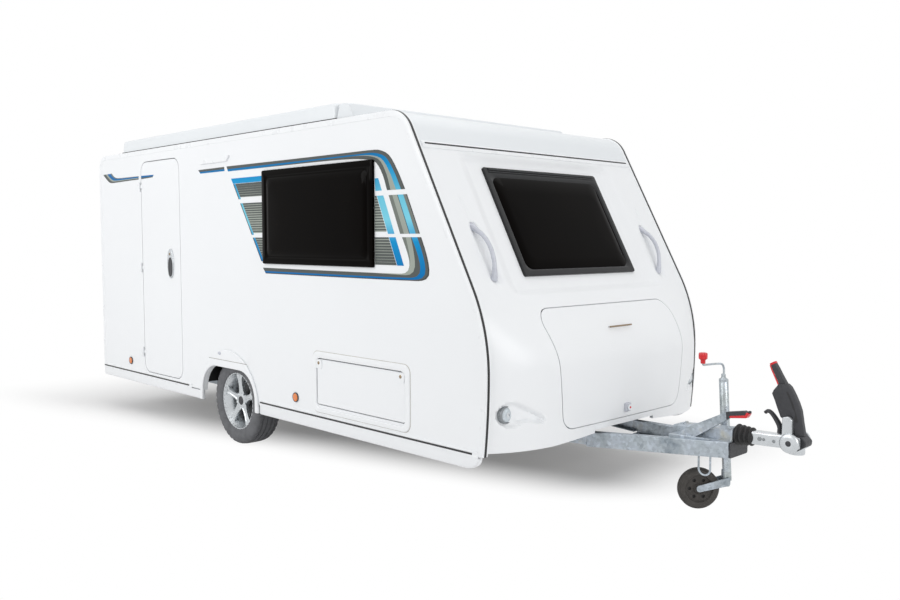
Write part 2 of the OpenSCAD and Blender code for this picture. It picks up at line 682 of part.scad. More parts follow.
skirt_h = 65;
skirt_end = 50;
skirt_chamfer = 12;
module skirt() for (x = [[0, axle_x - arch_r], [axle_x + arch_r, body_l - skirt_end]]) bar(x[0], x[1] - x[0])
    polygon([[-half_w, wall_z0], [-half_w, wall_z0 - skirt_h + skirt_chamfer],
        [-half_w + skirt_chamfer, wall_z0 - skirt_h], [-inner_hw, wall_z0 - skirt_h], [-inner_hw, wall_z0]]);
module skirt_right() from_rear() color(white) skirt();
module skirt_left() from_rear() color(white) on_side(-1) skirt();

arch_foot_z = wall_z0 - skirt_h;
module wheel_arch() plate(-half_w - arch_proud, arch_proud) difference() {
    polygon(concat(arc([axle_x, arch_foot_z], arch_r, 0, 180, 30)));
    arch_opening();
}
module wheel_arch_right() from_rear() color(white) wheel_arch();
module wheel_arch_left() from_rear() color(white) on_side(-1) wheel_arch();

box_wall = 12;
box_clear = 12;
arm_gap = 3;
arm_t = 40;
arm_y = rail_hw + arm_gap;
box_depth = inner_hw - arm_y - arm_t + box_clear;
module wheel_box_block(d) translate([axle_x - box_hl - d, -inner_hw, floor_z - eps])
    cube([2 * (box_hl + d), box_depth + d, box_z + d - floor_z + eps]);
module wheel_box() difference() {
    intersection() {
        wheel_box_block(box_wall);
        translate([0, -body_w, floor_z]) cube([body_l, 2 * body_w, roof_z]);
    }
    translate([0, -eps, -eps]) wheel_box_block(0);
}
module wheel_box_right() from_rear() color(black) wheel_box();
module wheel_box_left() from_rear() color(black) on_side(-1) wheel_box();

rail_x0 = 260;
rail_z1 = floor_z;
rail_z0 = rail_z1 - rail_h;
// Plan of a right-hand member between x0 and x1, its outer edge set in by d, w wide
function member_plan(xs, d, w) = concat([for (x = xs) [x, -rail_y(x) + d]],
    reverse([for (x = xs) [x, -rail_y(x) + d + w]]));
module chassis_rails() from_rear() color(steel) both_sides() difference() {
    translate([0, 0, rail_z0]) linear_extrude(rail_h)
        polygon(member_plan([rail_x0, rail_bend_x, drawbar_x], 0, rail_w));
    translate([0, 0, rail_z0 + rail_t]) linear_extrude(rail_h - 2 * rail_t)
        polygon(member_plan([rail_x0 - eps, rail_bend_x, drawbar_x + eps], rail_t, rail_w));
}

module member_side(d, t) plate(-half_w, body_w) polygon([
    [drawbar_x - d, rail_z0 + t], [drawbar_x1 + d, rail_z0 + drawbar_rise + t],
    [drawbar_x1 + d, rail_z1 + drawbar_rise - t], [drawbar_x - d, rail_z1 - t]]);
module drawbar() from_rear() color(steel) both_sides() difference() {
    intersection() {
        linear_extrude(roof_z) polygon(member_plan([drawbar_x, drawbar_x1], 0, rail_w));
        member_side(0, 0);
    }
    intersection() {
        linear_extrude(roof_z) polygon(member_plan([drawbar_x - eps, drawbar_x1 + eps], rail_t, rail_w));
        member_side(eps, rail_t);
    }
}

cross_xs = [for (share = [0.067, 0.289, 0.644, 0.956]) share * body_l];
cross_w = 40;
module cross_members() from_rear() color(steel) for (x = cross_xs)
    translate([x, -rail_y(x + cross_w) + rail_w, rail_z1 - cross_w])
        cube([cross_w, 2 * (rail_y(x + cross_w) - rail_w), cross_w]);

spindle_grip = 24;
arm_h = 80;
axle_z = rail_z0 - axle_r - 8;
saddle_l = 110;
saddle_w = 60;
drum_r = 120;
drum_t = 50;
hub_r = 62;
hub_t = 40;
hub_cap_t = 12;
spoke_face = 52;
hub_back_y = wheel_y + spoke_face - hub_t;
module axle() from_rear() color("#7f8486") {
    translate([axle_x + arm_l, 0, axle_z]) rotate([90, 0, 0])
        cylinder(r = axle_r, h = 2 * arm_y + eps, center = true);
    both_sides() {
        translate([axle_x + arm_l - saddle_l / 2, -rail_hw, axle_z])
            cube([saddle_l, saddle_w, rail_z0 - axle_z]);
        plate(-arm_y - arm_t, arm_t) polygon([
            [axle_x + arm_l + arm_h / 2, axle_z - arm_h / 2], [axle_x + arm_l + arm_h / 2, axle_z + arm_h / 2],
            [axle_x + arm_h / 3, tyre_r + arm_h / 2], [axle_x - arm_h / 2, tyre_r + arm_h / 3],
            [axle_x - arm_h / 2, tyre_r - arm_h / 3], [axle_x + arm_h / 3, tyre_r - arm_h / 2]]);
        translate([axle_x, -arm_y, tyre_r]) rotate([90, 0, 0])
            cylinder(r = spindle_r, h = hub_back_y + spindle_grip - arm_y);
        translate([axle_x, -arm_y - arm_t, tyre_r]) rotate([90, 0, 0]) cylinder(r = drum_r, h = drum_t);
    }
}

// Section of the tyre: [distance from the middle, radius]
tread_r = 26;
rim_lip = 8;
flange_t = 6;
rim_hw = tyre_w / 2 - 14;
bead_r = rim_r - rim_lip;
bead_hw = rim_hw - flange_t - fit;
wall_r = 40;
module tyre_shape() polygon(rounded([[-bead_hw, bead_r], [bead_hw, bead_r], [bead_hw, rim_r + fit],
    [tyre_w / 2, (bead_r + tyre_r) / 2], [tyre_w / 2 - flange_t, tyre_r], [flange_t - tyre_w / 2, tyre_r],
    [-tyre_w / 2, (bead_r + tyre_r) / 2], [-bead_hw, rim_r + fit]],
    [1, 1, 1, wall_r, tread_r, tread_r, wall_r, 1], 4));
module wheel_turn() translate([axle_x, -wheel_y, tyre_r]) rotate([90, 0, 0]) children();
module tyre() wheel_turn() rotate_extrude($fn = 96) rotate([0, 0, -90]) mirror([1, 0]) tyre_shape();
module tyre_right() from_rear() color("#232324") tyre();
module tyre_left() from_rear() color("#232324") on_side(-1) tyre();

rim_well = 30;
rim_sheet = 8;
seat_r = bead_r - fit;
well_in = 40;
well_out = 60;
spoke_hw = 21;
spoke_hub_hw = 30;
spoke_rim_hw = 40;
spoke_fork_r = rim_r - 2 * rim_well;
spoke_t = 24;
spoke_drop = 2;
bolt_r = 8;
bolt_proud = 6;
bolt_circle_r = 46;
// Inner radius of the rim's well at a height above the wheel's middle
function well_r(z) = seat_r - (rim_well + rim_sheet) * (rim_hw - z) / well_out;
module spokes() intersection() {
    for (a = [90:72:378]) rotate([0, 0, a]) translate([0, 0, spoke_face - spoke_drop - spoke_t])
        linear_extrude(spoke_t) polygon([[0, -spoke_hub_hw], [hub_r, -spoke_hw], [spoke_fork_r, -spoke_hw],
            [rim_r, -spoke_rim_hw], [rim_r, spoke_rim_hw], [spoke_fork_r, spoke_hw], [hub_r, spoke_hw],
            [0, spoke_hub_hw]]);
    rotate_extrude($fn = 96) polygon([[0, 0], [well_r(0) + rim_sheet / 2, 0],
        [well_r(spoke_face) + rim_sheet / 2, spoke_face], [0, spoke_face]]);
}
module rim() wheel_turn() difference() {
    union() {
        rotate_extrude($fn = 96) polygon([[seat_r - rim_sheet, -rim_hw], [rim_r, -rim_hw],
            [rim_r, -rim_hw + flange_t], [seat_r, -rim_hw + flange_t], [seat_r - rim_well, -rim_hw + well_in],
            [seat_r - rim_well, rim_hw - well_out], [seat_r, rim_hw - flange_t], [rim_r, rim_hw - flange_t],
            [rim_r, rim_hw], [seat_r - 2, rim_hw], [seat_r - rim_well - rim_sheet, rim_hw - well_out + 4],
            [seat_r - rim_well - rim_sheet, -rim_hw + well_in - 4]]);
        translate([0, 0, spoke_face - hub_t]) cylinder(r = hub_r, h = hub_t);
        spokes();
        for (a = [126:72:414]) rotate([0, 0, a]) translate([bolt_circle_r, 0, spoke_face - hub_cap_t])
            cylinder(r = bolt_r, h = hub_cap_t + bolt_proud);
    }
    translate([0, 0, -tyre_w]) cylinder(r = spindle_r + fit, h = tyre_w + spoke_face - hub_cap_t);
}
module rim_right() from_rear() color(alloy) rim();
module rim_left() from_rear() color(alloy) on_side(-1) rim();

// Overrun device between the drawbar members
housing_l = 310;
housing_x1 = drawbar_x1;
housing_x0 = housing_x1 - housing_l;
housing_z0 = 385;
housing_deck_z = 432;
housing_top_z = 474;
housing_hw = 46;
tube_r = 25;
tube_back = 80;
module overrun_housing() from_rear() color(steel) difference() {
    union() {
        translate([0, 0, housing_z0]) linear_extrude(housing_deck_z - housing_z0) polygon([
            [housing_x0, -rail_y(housing_x0) + rail_w], [housing_x1, -rail_y(housing_x1) + rail_w],
            [housing_x1, rail_y(housing_x1) - rail_w], [housing_x0, rail_y(housing_x0) - rail_w]]);
        plate(-housing_hw, 2 * housing_hw) polygon(rounded([[housing_x0, housing_z0], [housing_x1, housing_z0],
            [housing_x1, hitch_z + tube_r * 2], [housing_x1 - 60, hitch_z + tube_r * 2],
            [housing_x0 + 40, housing_top_z], [housing_x0, housing_top_z]], [2, 2, 10, 20, 20, 10], 3));
    }
    translate([housing_x0 + 60, 0, hitch_z]) rotate([0, 90, 0]) cylinder(r = tube_r + 0.2, h = housing_l);
}

bellows_x1 = housing_x1 + 100;
bellows_folds = 4;
bellows_dip = 10;
module bellows() from_rear() color("#1a1a1a") translate([housing_x1, 0, hitch_z]) rotate([0, 90, 0]) {
    l = bellows_x1 - housing_x1;
    p = l / bellows_folds;
    rotate_extrude() polygon(concat([[tube_r + 0.2, 0]],
        [for (i = [0:bellows_folds - 1]) each [[bellows_r - bellows_dip - i * 3, i * p],
            [bellows_r - i * 3, i * p + p * 0.3], [bellows_r - i * 3, i * p + p * 0.7]]],
        [[bellows_r - bellows_dip - 12, l], [tube_r + 0.2, l]]));
}

ball_x = hitch_x - ball_back;
head_hw = 30;
head_h = 66;
head_slope = 8;
cup_r = 42;
socket_l = 30;
disc_hw = 72;
head_top_z = hitch_z + head_h / 2;
head_bottom_z = hitch_z - head_h / 2;
module coupling_head() from_rear() color(alloy) difference() {
    union() {
        translate([housing_x0 + tube_back, 0, hitch_z]) rotate([0, 90, 0])
            cylinder(r = tube_r, h = bellows_x1 - housing_x0);
        plate(-head_hw, 2 * head_hw) polygon(rounded([[bellows_x1, head_bottom_z + 12],
            [ball_x - cup_r, head_bottom_z], [ball_x, head_bottom_z], [ball_x, head_top_z],
            [bellows_x1, head_top_z - head_slope]], [6, 10, 2, 2, 6], 3));
        translate([ball_x, 0, head_bottom_z]) cylinder(r = cup_r, h = head_h);
        both_sides() translate([ball_x - 20, -head_hw, hitch_z]) rotate([90, 0, 0])
            cylinder(r = disc_r, h = disc_hw - head_hw);
        plate(-head_hw, 2 * head_hw) polygon(rounded([[ball_x, head_bottom_z], [hitch_x, head_bottom_z + 20],
            [hitch_x, head_top_z - 12], [ball_x, head_top_z]], [2, 14, 14, 2], 4));
    }
    translate([ball_x, 0, head_bottom_z - eps]) cylinder(r = ball_r, h = socket_l + eps);
}

// Stabiliser lever, standing raised over the hitch; columns: ahead of the ball, above the head, corner radius
lever_hw = 24;
lever_outline = [[-66, 0, 3], [36, 0, 3], [42, 60, 20], [26, 148, 60], [-70, 268, 20], [-96, 352, 8],
    [-128, 352, 8], [-100, 262, 10], [-126, 204, 10], [-84, 80, 20]];
module side_plate(hw, o, table) plate(-hw, 2 * hw)
    polygon(rounded([for (p = table) o + [p[0], p[1]]], [for (p = table) p[2]], 3));
module stabiliser_lever() from_rear() color("#3c3d40")
    side_plate(lever_hw, [ball_x, head_top_z], lever_outline);

// Top of the coupling head at x, and the handle that stands on it behind the ball
function head_top(x) = head_top_z - head_slope * (ball_x - x) / (ball_x - bellows_x1);
handle_hw = 14;
handle_back = 110;
handle_foot_l = 22;
handle_foot_rise = head_slope * handle_foot_l / (ball_x - bellows_x1);
handle_outline = [[0, 0, 2], [handle_foot_l, handle_foot_rise, 2],
    [22, 32, 10], [-20, 108, 8], [-48, 108, 6], [-48, 92, 6], [-30, 86, 8]];
module coupling_handle() from_rear() color(black)
    side_plate(handle_hw, [ball_x - handle_back, head_top(ball_x - handle_back)], handle_outline);

// Handbrake lever and its grip; columns as above, from the lever's rear foot on the housing
brake_y = 62;
brake_w = 30;
brake_x = housing_x0 + 10;
brake_lever = [[0, 0, 1], [112, 0, 1], [282, 112, 1], [278, 150, 1], [85, 52, 20]];
brake_grip = [[278, 150, 1], [282, 112, 1], [300, 126, 4], [384, 138, 8], [396, 156, 6], [372, 168, 8]];
module on_brake() translate([0, -brake_y - brake_w / 2, 0]) children();
module handbrake_lever() from_rear() color(steel) on_brake()
    side_plate(brake_w / 2, [brake_x, housing_deck_z], brake_lever);
module handbrake_grip() from_rear() color("#2a2a2c") on_brake()
    side_plate(brake_w / 2, [brake_x, housing_deck_z], brake_grip);

// Wire loop under the right drawbar member that guides the breakaway cable
guide_x = drawbar_x1 - 125;
guide_r = 32;
guide_wire = 5;
guide_drop = 78;
module cable_guide() from_rear() color(steel) {
    z1 = rail_z0 + drawbar_rise * (guide_x - drawbar_x) / (drawbar_x1 - drawbar_x);
    y = rail_y(guide_x) - rail_w / 2;
    for (s = [-1, 1]) translate([guide_x + s * guide_r, -y, z1 - guide_drop])
        cylinder(r = guide_wire, h = guide_drop + s * guide_r * drawbar_rise / (drawbar_x1 - drawbar_x) - 1.2);
    translate([guide_x, -y, z1 - guide_drop]) rotate([-90, 0, 0])
        rotate_extrude(angle = 180) translate([guide_r, 0]) circle(r = guide_wire);
}

// Jockey wheel: clamp and outer tube on the left drawbar member, swivelling fork, wheel
module at_jockey() translate([jockey_x, jockey_y, 0]) children();
clamp_z = 352;
clamp_h = 60;
clamp_wall = 8;
module jockey_clamp() from_rear() color(steel) difference() {
    union() {
        at_jockey() translate([0, 0, clamp_z]) cylinder(r = jockey_tube_r + clamp_wall, h = clamp_h);
        intersection() {
            translate([jockey_x - jockey_tube_r, 0, clamp_z])
                cube([2 * jockey_tube_r, jockey_y, clamp_h]);
            linear_extrude(roof_z) mirror([0, 1, 0]) polygon([[drawbar_x, -rail_y(drawbar_x)],
                [drawbar_x1, -rail_y(drawbar_x1)], [drawbar_x1, -half_w], [drawbar_x, -half_w]]);
        }
    }
    at_jockey() cylinder(r = jockey_tube_r + seat, h = roof_z);
}

fork_z = 205;
leg_w = 42;
swivel_r = 8;
swivel_z = 140;
module jockey_tube() from_rear() color(steel) at_jockey() {
    translate([0, 0, clamp_z - jockey_tube_r])
        cylinder(r = jockey_tube_r, h = jockey_top_z - clamp_z + jockey_tube_r);
    rotate([0, 0, jockey_yaw]) translate([-leg_w / 2, -leg_w / 2, fork_z + fit])
        cube([leg_w, leg_w, clamp_z - fork_z - 2 * fit]);
    translate([0, 0, swivel_z]) cylinder(r = swivel_r, h = clamp_z - swivel_z);
}

crank_r = 6;
crank_yaw = 250;
crank_reach = 164;
crank_rise = 84;
crank_bend_r = 20;
crank_stub = 10;
knob_r = 22;
knob_h = 58;
module jockey_crank() from_rear() color(steel) at_jockey() rotate([0, 0, crank_yaw]) {
    translate([0, 0, jockey_top_z]) cylinder(r = crank_r, h = crank_rise - crank_bend_r);
    translate([crank_bend_r, 0, jockey_top_z + crank_rise - crank_bend_r]) rotate([90, 0, 0]) rotate([0, 0, 90])
        rotate_extrude(angle = 90) translate([crank_bend_r, 0]) circle(r = crank_r);
    translate([crank_bend_r, 0, jockey_top_z + crank_rise]) rotate([0, 90, 0])
        cylinder(r = crank_r, h = crank_reach - crank_bend_r + crank_r);
    translate([crank_reach, 0, jockey_top_z + crank_rise]) cylinder(r = crank_r - 1, h = crank_stub);
}
module crank_knob() from_rear() color("#c01820") at_jockey() rotate([0, 0, crank_yaw])
    translate([crank_reach, 0, jockey_top_z + crank_rise + crank_stub]) rotate_extrude()
        polygon(rounded([[0, 0], [knob_r * 0.6, 0], [knob_r * 0.6, knob_h * 0.3], [knob_r, knob_h * 0.4],
            [knob_r, knob_h], [0, knob_h]], [0.1, 2, 2, 4, 6, 0.1], 4));

fork_t = 6;
fork_gap = 6;
fork_h = 34;
fork_sleeve_r = 22;
module jockey_fork() from_rear() color(steel) at_jockey() rotate([0, 0, jockey_yaw]) difference() {
    union() {
        translate([0, 0, 120]) cylinder(r = fork_sleeve_r, h = fork_z - 120);
        for (s = [-1, 1]) plate(s * (jockey_w / 2 + fork_gap + fork_t / 2) - fork_t / 2, fork_t)
            polygon(rounded([[-10, 128], [jockey_trail + 17, jockey_r - fork_h / 2],
                [jockey_trail + 17, jockey_r + fork_h / 2], [-10, 172]], [4, 15, 15, 4], 5));
        translate([-16, -jockey_w / 2 - fork_gap, 132]) cube([26, jockey_w + 2 * fork_gap, 34]);
        translate([jockey_trail, 0, jockey_r]) rotate([90, 0, 0])
            cylinder(r = 8, h = jockey_w + 2 * fork_gap + fork_t, center = true);
    }
    translate([0, 0, swivel_z / 2]) cylinder(r = swivel_r + fit, h = fork_z);
}

jockey_hub_r = 22;
module jockey_wheel() from_rear() color("#2b2a29") at_jockey() rotate([0, 0, jockey_yaw])
    translate([jockey_trail, 0, jockey_r]) rotate([90, 0, 0]) difference() {
        rotate_extrude() polygon(rounded([[8 + fit, -jockey_w / 2], [jockey_hub_r, -jockey_w / 2],
            [jockey_hub_r + 8, -jockey_w / 4], [jockey_r * 0.62, -jockey_w / 4],
            [jockey_r * 0.68, -jockey_w / 2],
            [jockey_r - 12, -jockey_w / 2], [jockey_r, -jockey_w / 4], [jockey_r, jockey_w / 4],
            [jockey_r - 12, jockey_w / 2], [jockey_r * 0.68, jockey_w / 2], [jockey_r * 0.62, jockey_w / 4],
            [jockey_hub_r + 8, jockey_w / 4], [jockey_hub_r, jockey_w / 2], [8 + fit, jockey_w / 2]],
            [1, 2, 2, 2, 4, 6, 8, 8, 6, 4, 2, 2, 2, 1], 3));
        for (a = [0:60:300]) rotate([0, 0, a]) translate([jockey_r * 0.45, 0, -jockey_w])
            cylinder(r = 9, h = 2 * jockey_w);
    }

// Corner steadies, folded up under the floor: columns are x of the pivot and the way the leg points
steady_front_x = body_l - 320;
steady_rear_x = 120;
steady_z = floor_z - 26;
steady_w = 34;
steady_h = 36;
steady_pin_r = 6;
ear_t = 6;
ear_l = 50;
module at_steady(x, way, side) on_side(side) translate([x, -steady_y, steady_z])
    rotate([0, 0, way > 0 ? 0 : 180]) children();
module steady_bracket() {
    for (s = [-1, 1]) translate([-ear_l / 2, s * (steady_w / 2 + 1 + ear_t / 2) - ear_t / 2, -14])
        cube([ear_l, ear_t, floor_z - steady_z + 14]);
    rotate([90, 0, 0]) cylinder(r = steady_pin_r, h = steady_w + 2 + 2 * ear_t, center = true);
}
module steady_leg() difference() {
    union() {
        plate(-steady_w / 2, steady_w) polygon(rounded([[-15, -18], [steady_l, -14], [steady_l, 14], [-15, 18]],
            [10, 4, 4, 10], 4));
        translate([steady_l - 40, -40, -20]) cube([80, 80, 8]);
    }
    plate(-steady_w / 2 + 4, steady_w - 8)
        polygon([[24, -30], [steady_l - 44, -30], [steady_l - 44, 10], [24, 13]]);
    rotate([90, 0, 0]) cylinder(r = steady_pin_r + fit, h = 4 * steady_w, center = true);
}
module steady_brackets() from_rear() color(steel) for (side = [1, -1]) {
    at_steady(steady_rear_x, 1, side) steady_bracket();
    at_steady(steady_front_x, -1, side) steady_bracket();
}
module steady_rear_right() from_rear() color(steel) at_steady(steady_rear_x, 1, 1) steady_leg();
module steady_rear_left() from_rear() color(steel) at_steady(steady_rear_x, 1, -1) steady_leg();
module steady_front_right() from_rear() color(steel) at_steady(steady_front_x, -1, 1) steady_leg();
module steady_front_left() from_rear() color(steel) at_steady(steady_front_x, -1, -1) steady_leg();

floor_panel();
side_wall_right();
side_wall_left();
front_panel();
rear_panel();
roof_panel();
roof_deflector();
roof_seal();
roof_canvas();
lifting_roof();
side_window_right();
side_window_left();
front_window();
rear_window();
door_hinges();
entrance_door();
door_handle();
flap_frame();
service_flap();
locker_lid();
locker_lock();
grab_handles();
front_lamps();
rear_lamps();
side_markers();
awning_lamp();
skirt_right();
skirt_left();
wheel_arch_right();
wheel_arch_left();
wheel_box_right();
wheel_box_left();
chassis_rails();
cross_members();
drawbar();
axle();
overrun_housing();
bellows();
coupling_head();
stabiliser_lever();
coupling_handle();
handbrake_lever();
handbrake_grip();
cable_guide();
jockey_clamp();
jockey_tube();
jockey_crank();
crank_knob();
jockey_fork();
jockey_wheel();
tyre_right();
rim_right();
tyre_left();
rim_left();
steady_brackets();
steady_rear_right();
steady_rear_left();
steady_front_right();
steady_front_left();
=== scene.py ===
"""Looks of a single-axle travel caravan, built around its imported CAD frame.

Metres, +X forward, +Y left, +Z up.
"""
import math
from math import cos, pi, radians, sin, tan

import bmesh
import bpy
import numpy as np
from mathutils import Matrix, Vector
from mathutils.geometry import delaunay_2d_cdt


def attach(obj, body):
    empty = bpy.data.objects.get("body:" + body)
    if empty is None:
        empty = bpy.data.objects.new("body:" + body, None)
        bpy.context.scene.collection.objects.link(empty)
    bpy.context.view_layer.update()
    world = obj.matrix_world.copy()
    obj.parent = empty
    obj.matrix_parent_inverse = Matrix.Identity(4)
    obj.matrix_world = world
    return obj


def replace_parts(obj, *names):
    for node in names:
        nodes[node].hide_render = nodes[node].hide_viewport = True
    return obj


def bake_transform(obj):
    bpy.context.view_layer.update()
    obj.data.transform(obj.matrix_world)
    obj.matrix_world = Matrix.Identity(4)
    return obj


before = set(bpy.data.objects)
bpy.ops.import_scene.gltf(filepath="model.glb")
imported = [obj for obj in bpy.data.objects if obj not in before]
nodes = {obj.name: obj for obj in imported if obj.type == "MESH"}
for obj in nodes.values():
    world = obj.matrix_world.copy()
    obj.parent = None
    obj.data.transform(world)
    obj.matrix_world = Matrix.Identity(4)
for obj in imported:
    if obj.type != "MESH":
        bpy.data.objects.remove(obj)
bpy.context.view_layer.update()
scene = bpy.context.scene

# Lengths along X are written from the rear wall, as in the CAD source
REAR = -2.804
HALF_W = 0.968
INNER_HW = 0.938
ROOF_Z = 2.09
AXIS_R = 0.0004


# Materials

def rgb(code):
    """Linear colour from a hex code."""
    parts = [int(code[i:i + 2], 16) / 255 for i in (1, 3, 5)]
    return [c / 12.92 if c < 0.04045 else ((c + 0.055) / 1.055) ** 2.4 for c in parts]


def shade(code, k):
    return [min(1.0, c * k) for c in rgb(code)] + [1.0]


class Nodes:
    """Small helper around one material's node tree."""

    def __init__(self, name):
        self.mat = bpy.data.materials.new(name)
        self.mat.use_nodes = True
        self.tree = self.mat.node_tree
        self.bsdf = self.tree.nodes["Principled BSDF"]
        self.coord = self.tree.nodes.new("ShaderNodeTexCoord").outputs["Object"]

    def add(self, kind, **sockets):
        n = self.tree.nodes.new(kind)
        for k, v in sockets.items():
            n.inputs[k.replace("_", " ")].default_value = v
        return n

    def link(self, a, b):
        self.tree.links.new(a, b)

    def noise(self, scale, detail=3.0, stretch=None):
        n = self.add("ShaderNodeTexNoise", Scale=scale, Detail=detail)
        src = self.coord
        if stretch:
            m = self.add("ShaderNodeMapping", Scale=stretch)
            self.link(src, m.inputs["Vector"])
            src = m.outputs["Vector"]
        self.link(src, n.inputs["Vector"])
        return n.outputs["Fac"]

    def ramp(self, fac, stops):
        r = self.tree.nodes.new("ShaderNodeValToRGB")
        while len(r.color_ramp.elements) < len(stops):
            r.color_ramp.elements.new(0.5)
        for e, (p, c) in zip(r.color_ramp.elements, stops):
            e.position = p
            e.color = c
        self.link(fac, r.inputs["Fac"])
        return r.outputs["Color"]

    def spread(self, fac, low, high):
        m = self.add("ShaderNodeMapRange", To_Min=low, To_Max=high, From_Min=0.3, From_Max=0.7)
        self.link(fac, m.inputs["Value"])
        return m.outputs["Result"]

    def colour(self, fac, stops):
        self.link(self.ramp(fac, stops), self.bsdf.inputs["Base Color"])

    def rough(self, fac, low, high):
        self.link(self.spread(fac, low, high), self.bsdf.inputs["Roughness"])

    def bump(self, height, strength):
        b = self.add("ShaderNodeBump", Strength=strength, Distance=0.001)
        self.link(height, b.inputs["Height"])
        self.link(b.outputs["Normal"], self.bsdf.inputs["Normal"])

    def set(self, **sockets):
        for k, v in sockets.items():
            self.bsdf.inputs[k.replace("_", " ")].default_value = v


def finish_material(name, code, rough, metal=0.0, *, vary, scale, grain, grain_scale=300.0, coat=0.0,
                    rough_vary=0.06, stretch=None, spec=0.5):
    """A material whose colour, roughness and fine relief all vary over the surface."""
    n = Nodes(name)
    big = n.noise(scale, 4.0, stretch)
    n.colour(big, [(0.3, shade(code, 1 - vary)), (0.7, shade(code, 1 + vary))])
    n.rough(n.noise(scale * 3, 3.0, stretch), rough - rough_vary, rough + rough_vary)
    n.bump(n.noise(grain_scale, 2.0, stretch), grain)
    n.set(Metallic=metal, Coat_Weight=coat, Specular_IOR_Level=spec)
    return n.mat


def galvanised(name, light, dark, rough):
    """Hot-dip zinc: spangle patches with faint blue and straw tints."""
    n = Nodes(name)
    v = n.add("ShaderNodeTexVoronoi", Scale=70.0)
    n.link(n.coord, v.inputs["Vector"])
    tint = n.ramp(n.noise(9.0, 5.0),
        [(0.28, shade(dark, 1)), (0.45, shade(light, 0.95)), (0.6, shade("#c3ccd6", 1)),
        (0.78, shade("#c9c5b2", 0.95))])
    spangle = n.ramp(v.outputs["Color"], [(0.0, shade("#c8c8c8", 1)), (1.0, shade("#ffffff", 1))])
    mix = n.tree.nodes.new("ShaderNodeMix")
    mix.data_type = "RGBA"
    mix.blend_type = "MULTIPLY"
    mix.inputs["Factor"].default_value = 0.8
    n.link(tint, mix.inputs["A"])
    n.link(spangle, mix.inputs["B"])
    n.link(mix.outputs["Result"], n.bsdf.inputs["Base Color"])
    n.rough(n.noise(40.0), rough - 0.08, rough + 0.14)
    n.bump(n.noise(160.0, 3.0), 0.12)
    n.set(Metallic=0.72)
    return n.mat


def blue_film(name):
    """Printed film that runs from light blue high up to deep blue low down."""
    n = Nodes(name)
    xyz = n.add("ShaderNodeSeparateXYZ")
    n.link(n.coord, xyz.inputs["Vector"])
    m = n.add("ShaderNodeMapRange", From_Min=1.2, From_Max=1.9)
    n.link(xyz.outputs["Z"], m.inputs["Value"])
    colour = n.ramp(m.outputs["Result"],
        [(0.0, shade("#006db0", 1)), (0.28, shade("#0f8fcb", 1)), (0.45, shade("#7dcfe4", 1)),
        (0.6, shade("#70c6dd", 1)), (0.74, shade("#46a8d0", 1)), (0.86, shade("#0390cc", 1)),
        (1.0, shade("#0066a4", 1))])
    n.link(colour, n.bsdf.inputs["Base Color"])
    n.rough(n.noise(30.0), 0.3, 0.42)
    n.bump(n.noise(400.0), 0.03)
    n.set(Specular_IOR_Level=0.1)
    return n.mat


def woven(name, code):
    n = Nodes(name)
    n.colour(n.noise(12.0, 5.0), [(0.3, shade(code, 0.9)), (0.7, shade(code, 1.06))])
    w = n.add("ShaderNodeTexWave", Scale=260.0, Distortion=1.0)
    n.link(n.coord, w.inputs["Vector"])
    n.bump(w.outputs["Fac"], 0.35)
    n.rough(n.noise(50.0), 0.75, 0.92)
    n.set(Sheen_Weight=0.25)
    return n.mat


def lens(name, code, ribs, rough=0.1):
    """Moulded lens with fine ribs."""
    n = Nodes(name)
    n.colour(n.noise(60.0), [(0.3, shade(code, 0.85)), (0.7, shade(code, 1.1))])
    w = n.add("ShaderNodeTexWave", Scale=ribs, Distortion=0.0)
    w.bands_direction = "Z"
    n.link(n.coord, w.inputs["Vector"])
    n.bump(w.outputs["Fac"], 0.5)
    n.rough(n.noise(90.0), rough - 0.04, rough + 0.06)
    n.set(Coat_Weight=0.6)
    return n.mat


def film(name, code):
    return finish_material(name, code, 0.4, vary=0.05, scale=8.0, grain=0.03, spec=0.15)


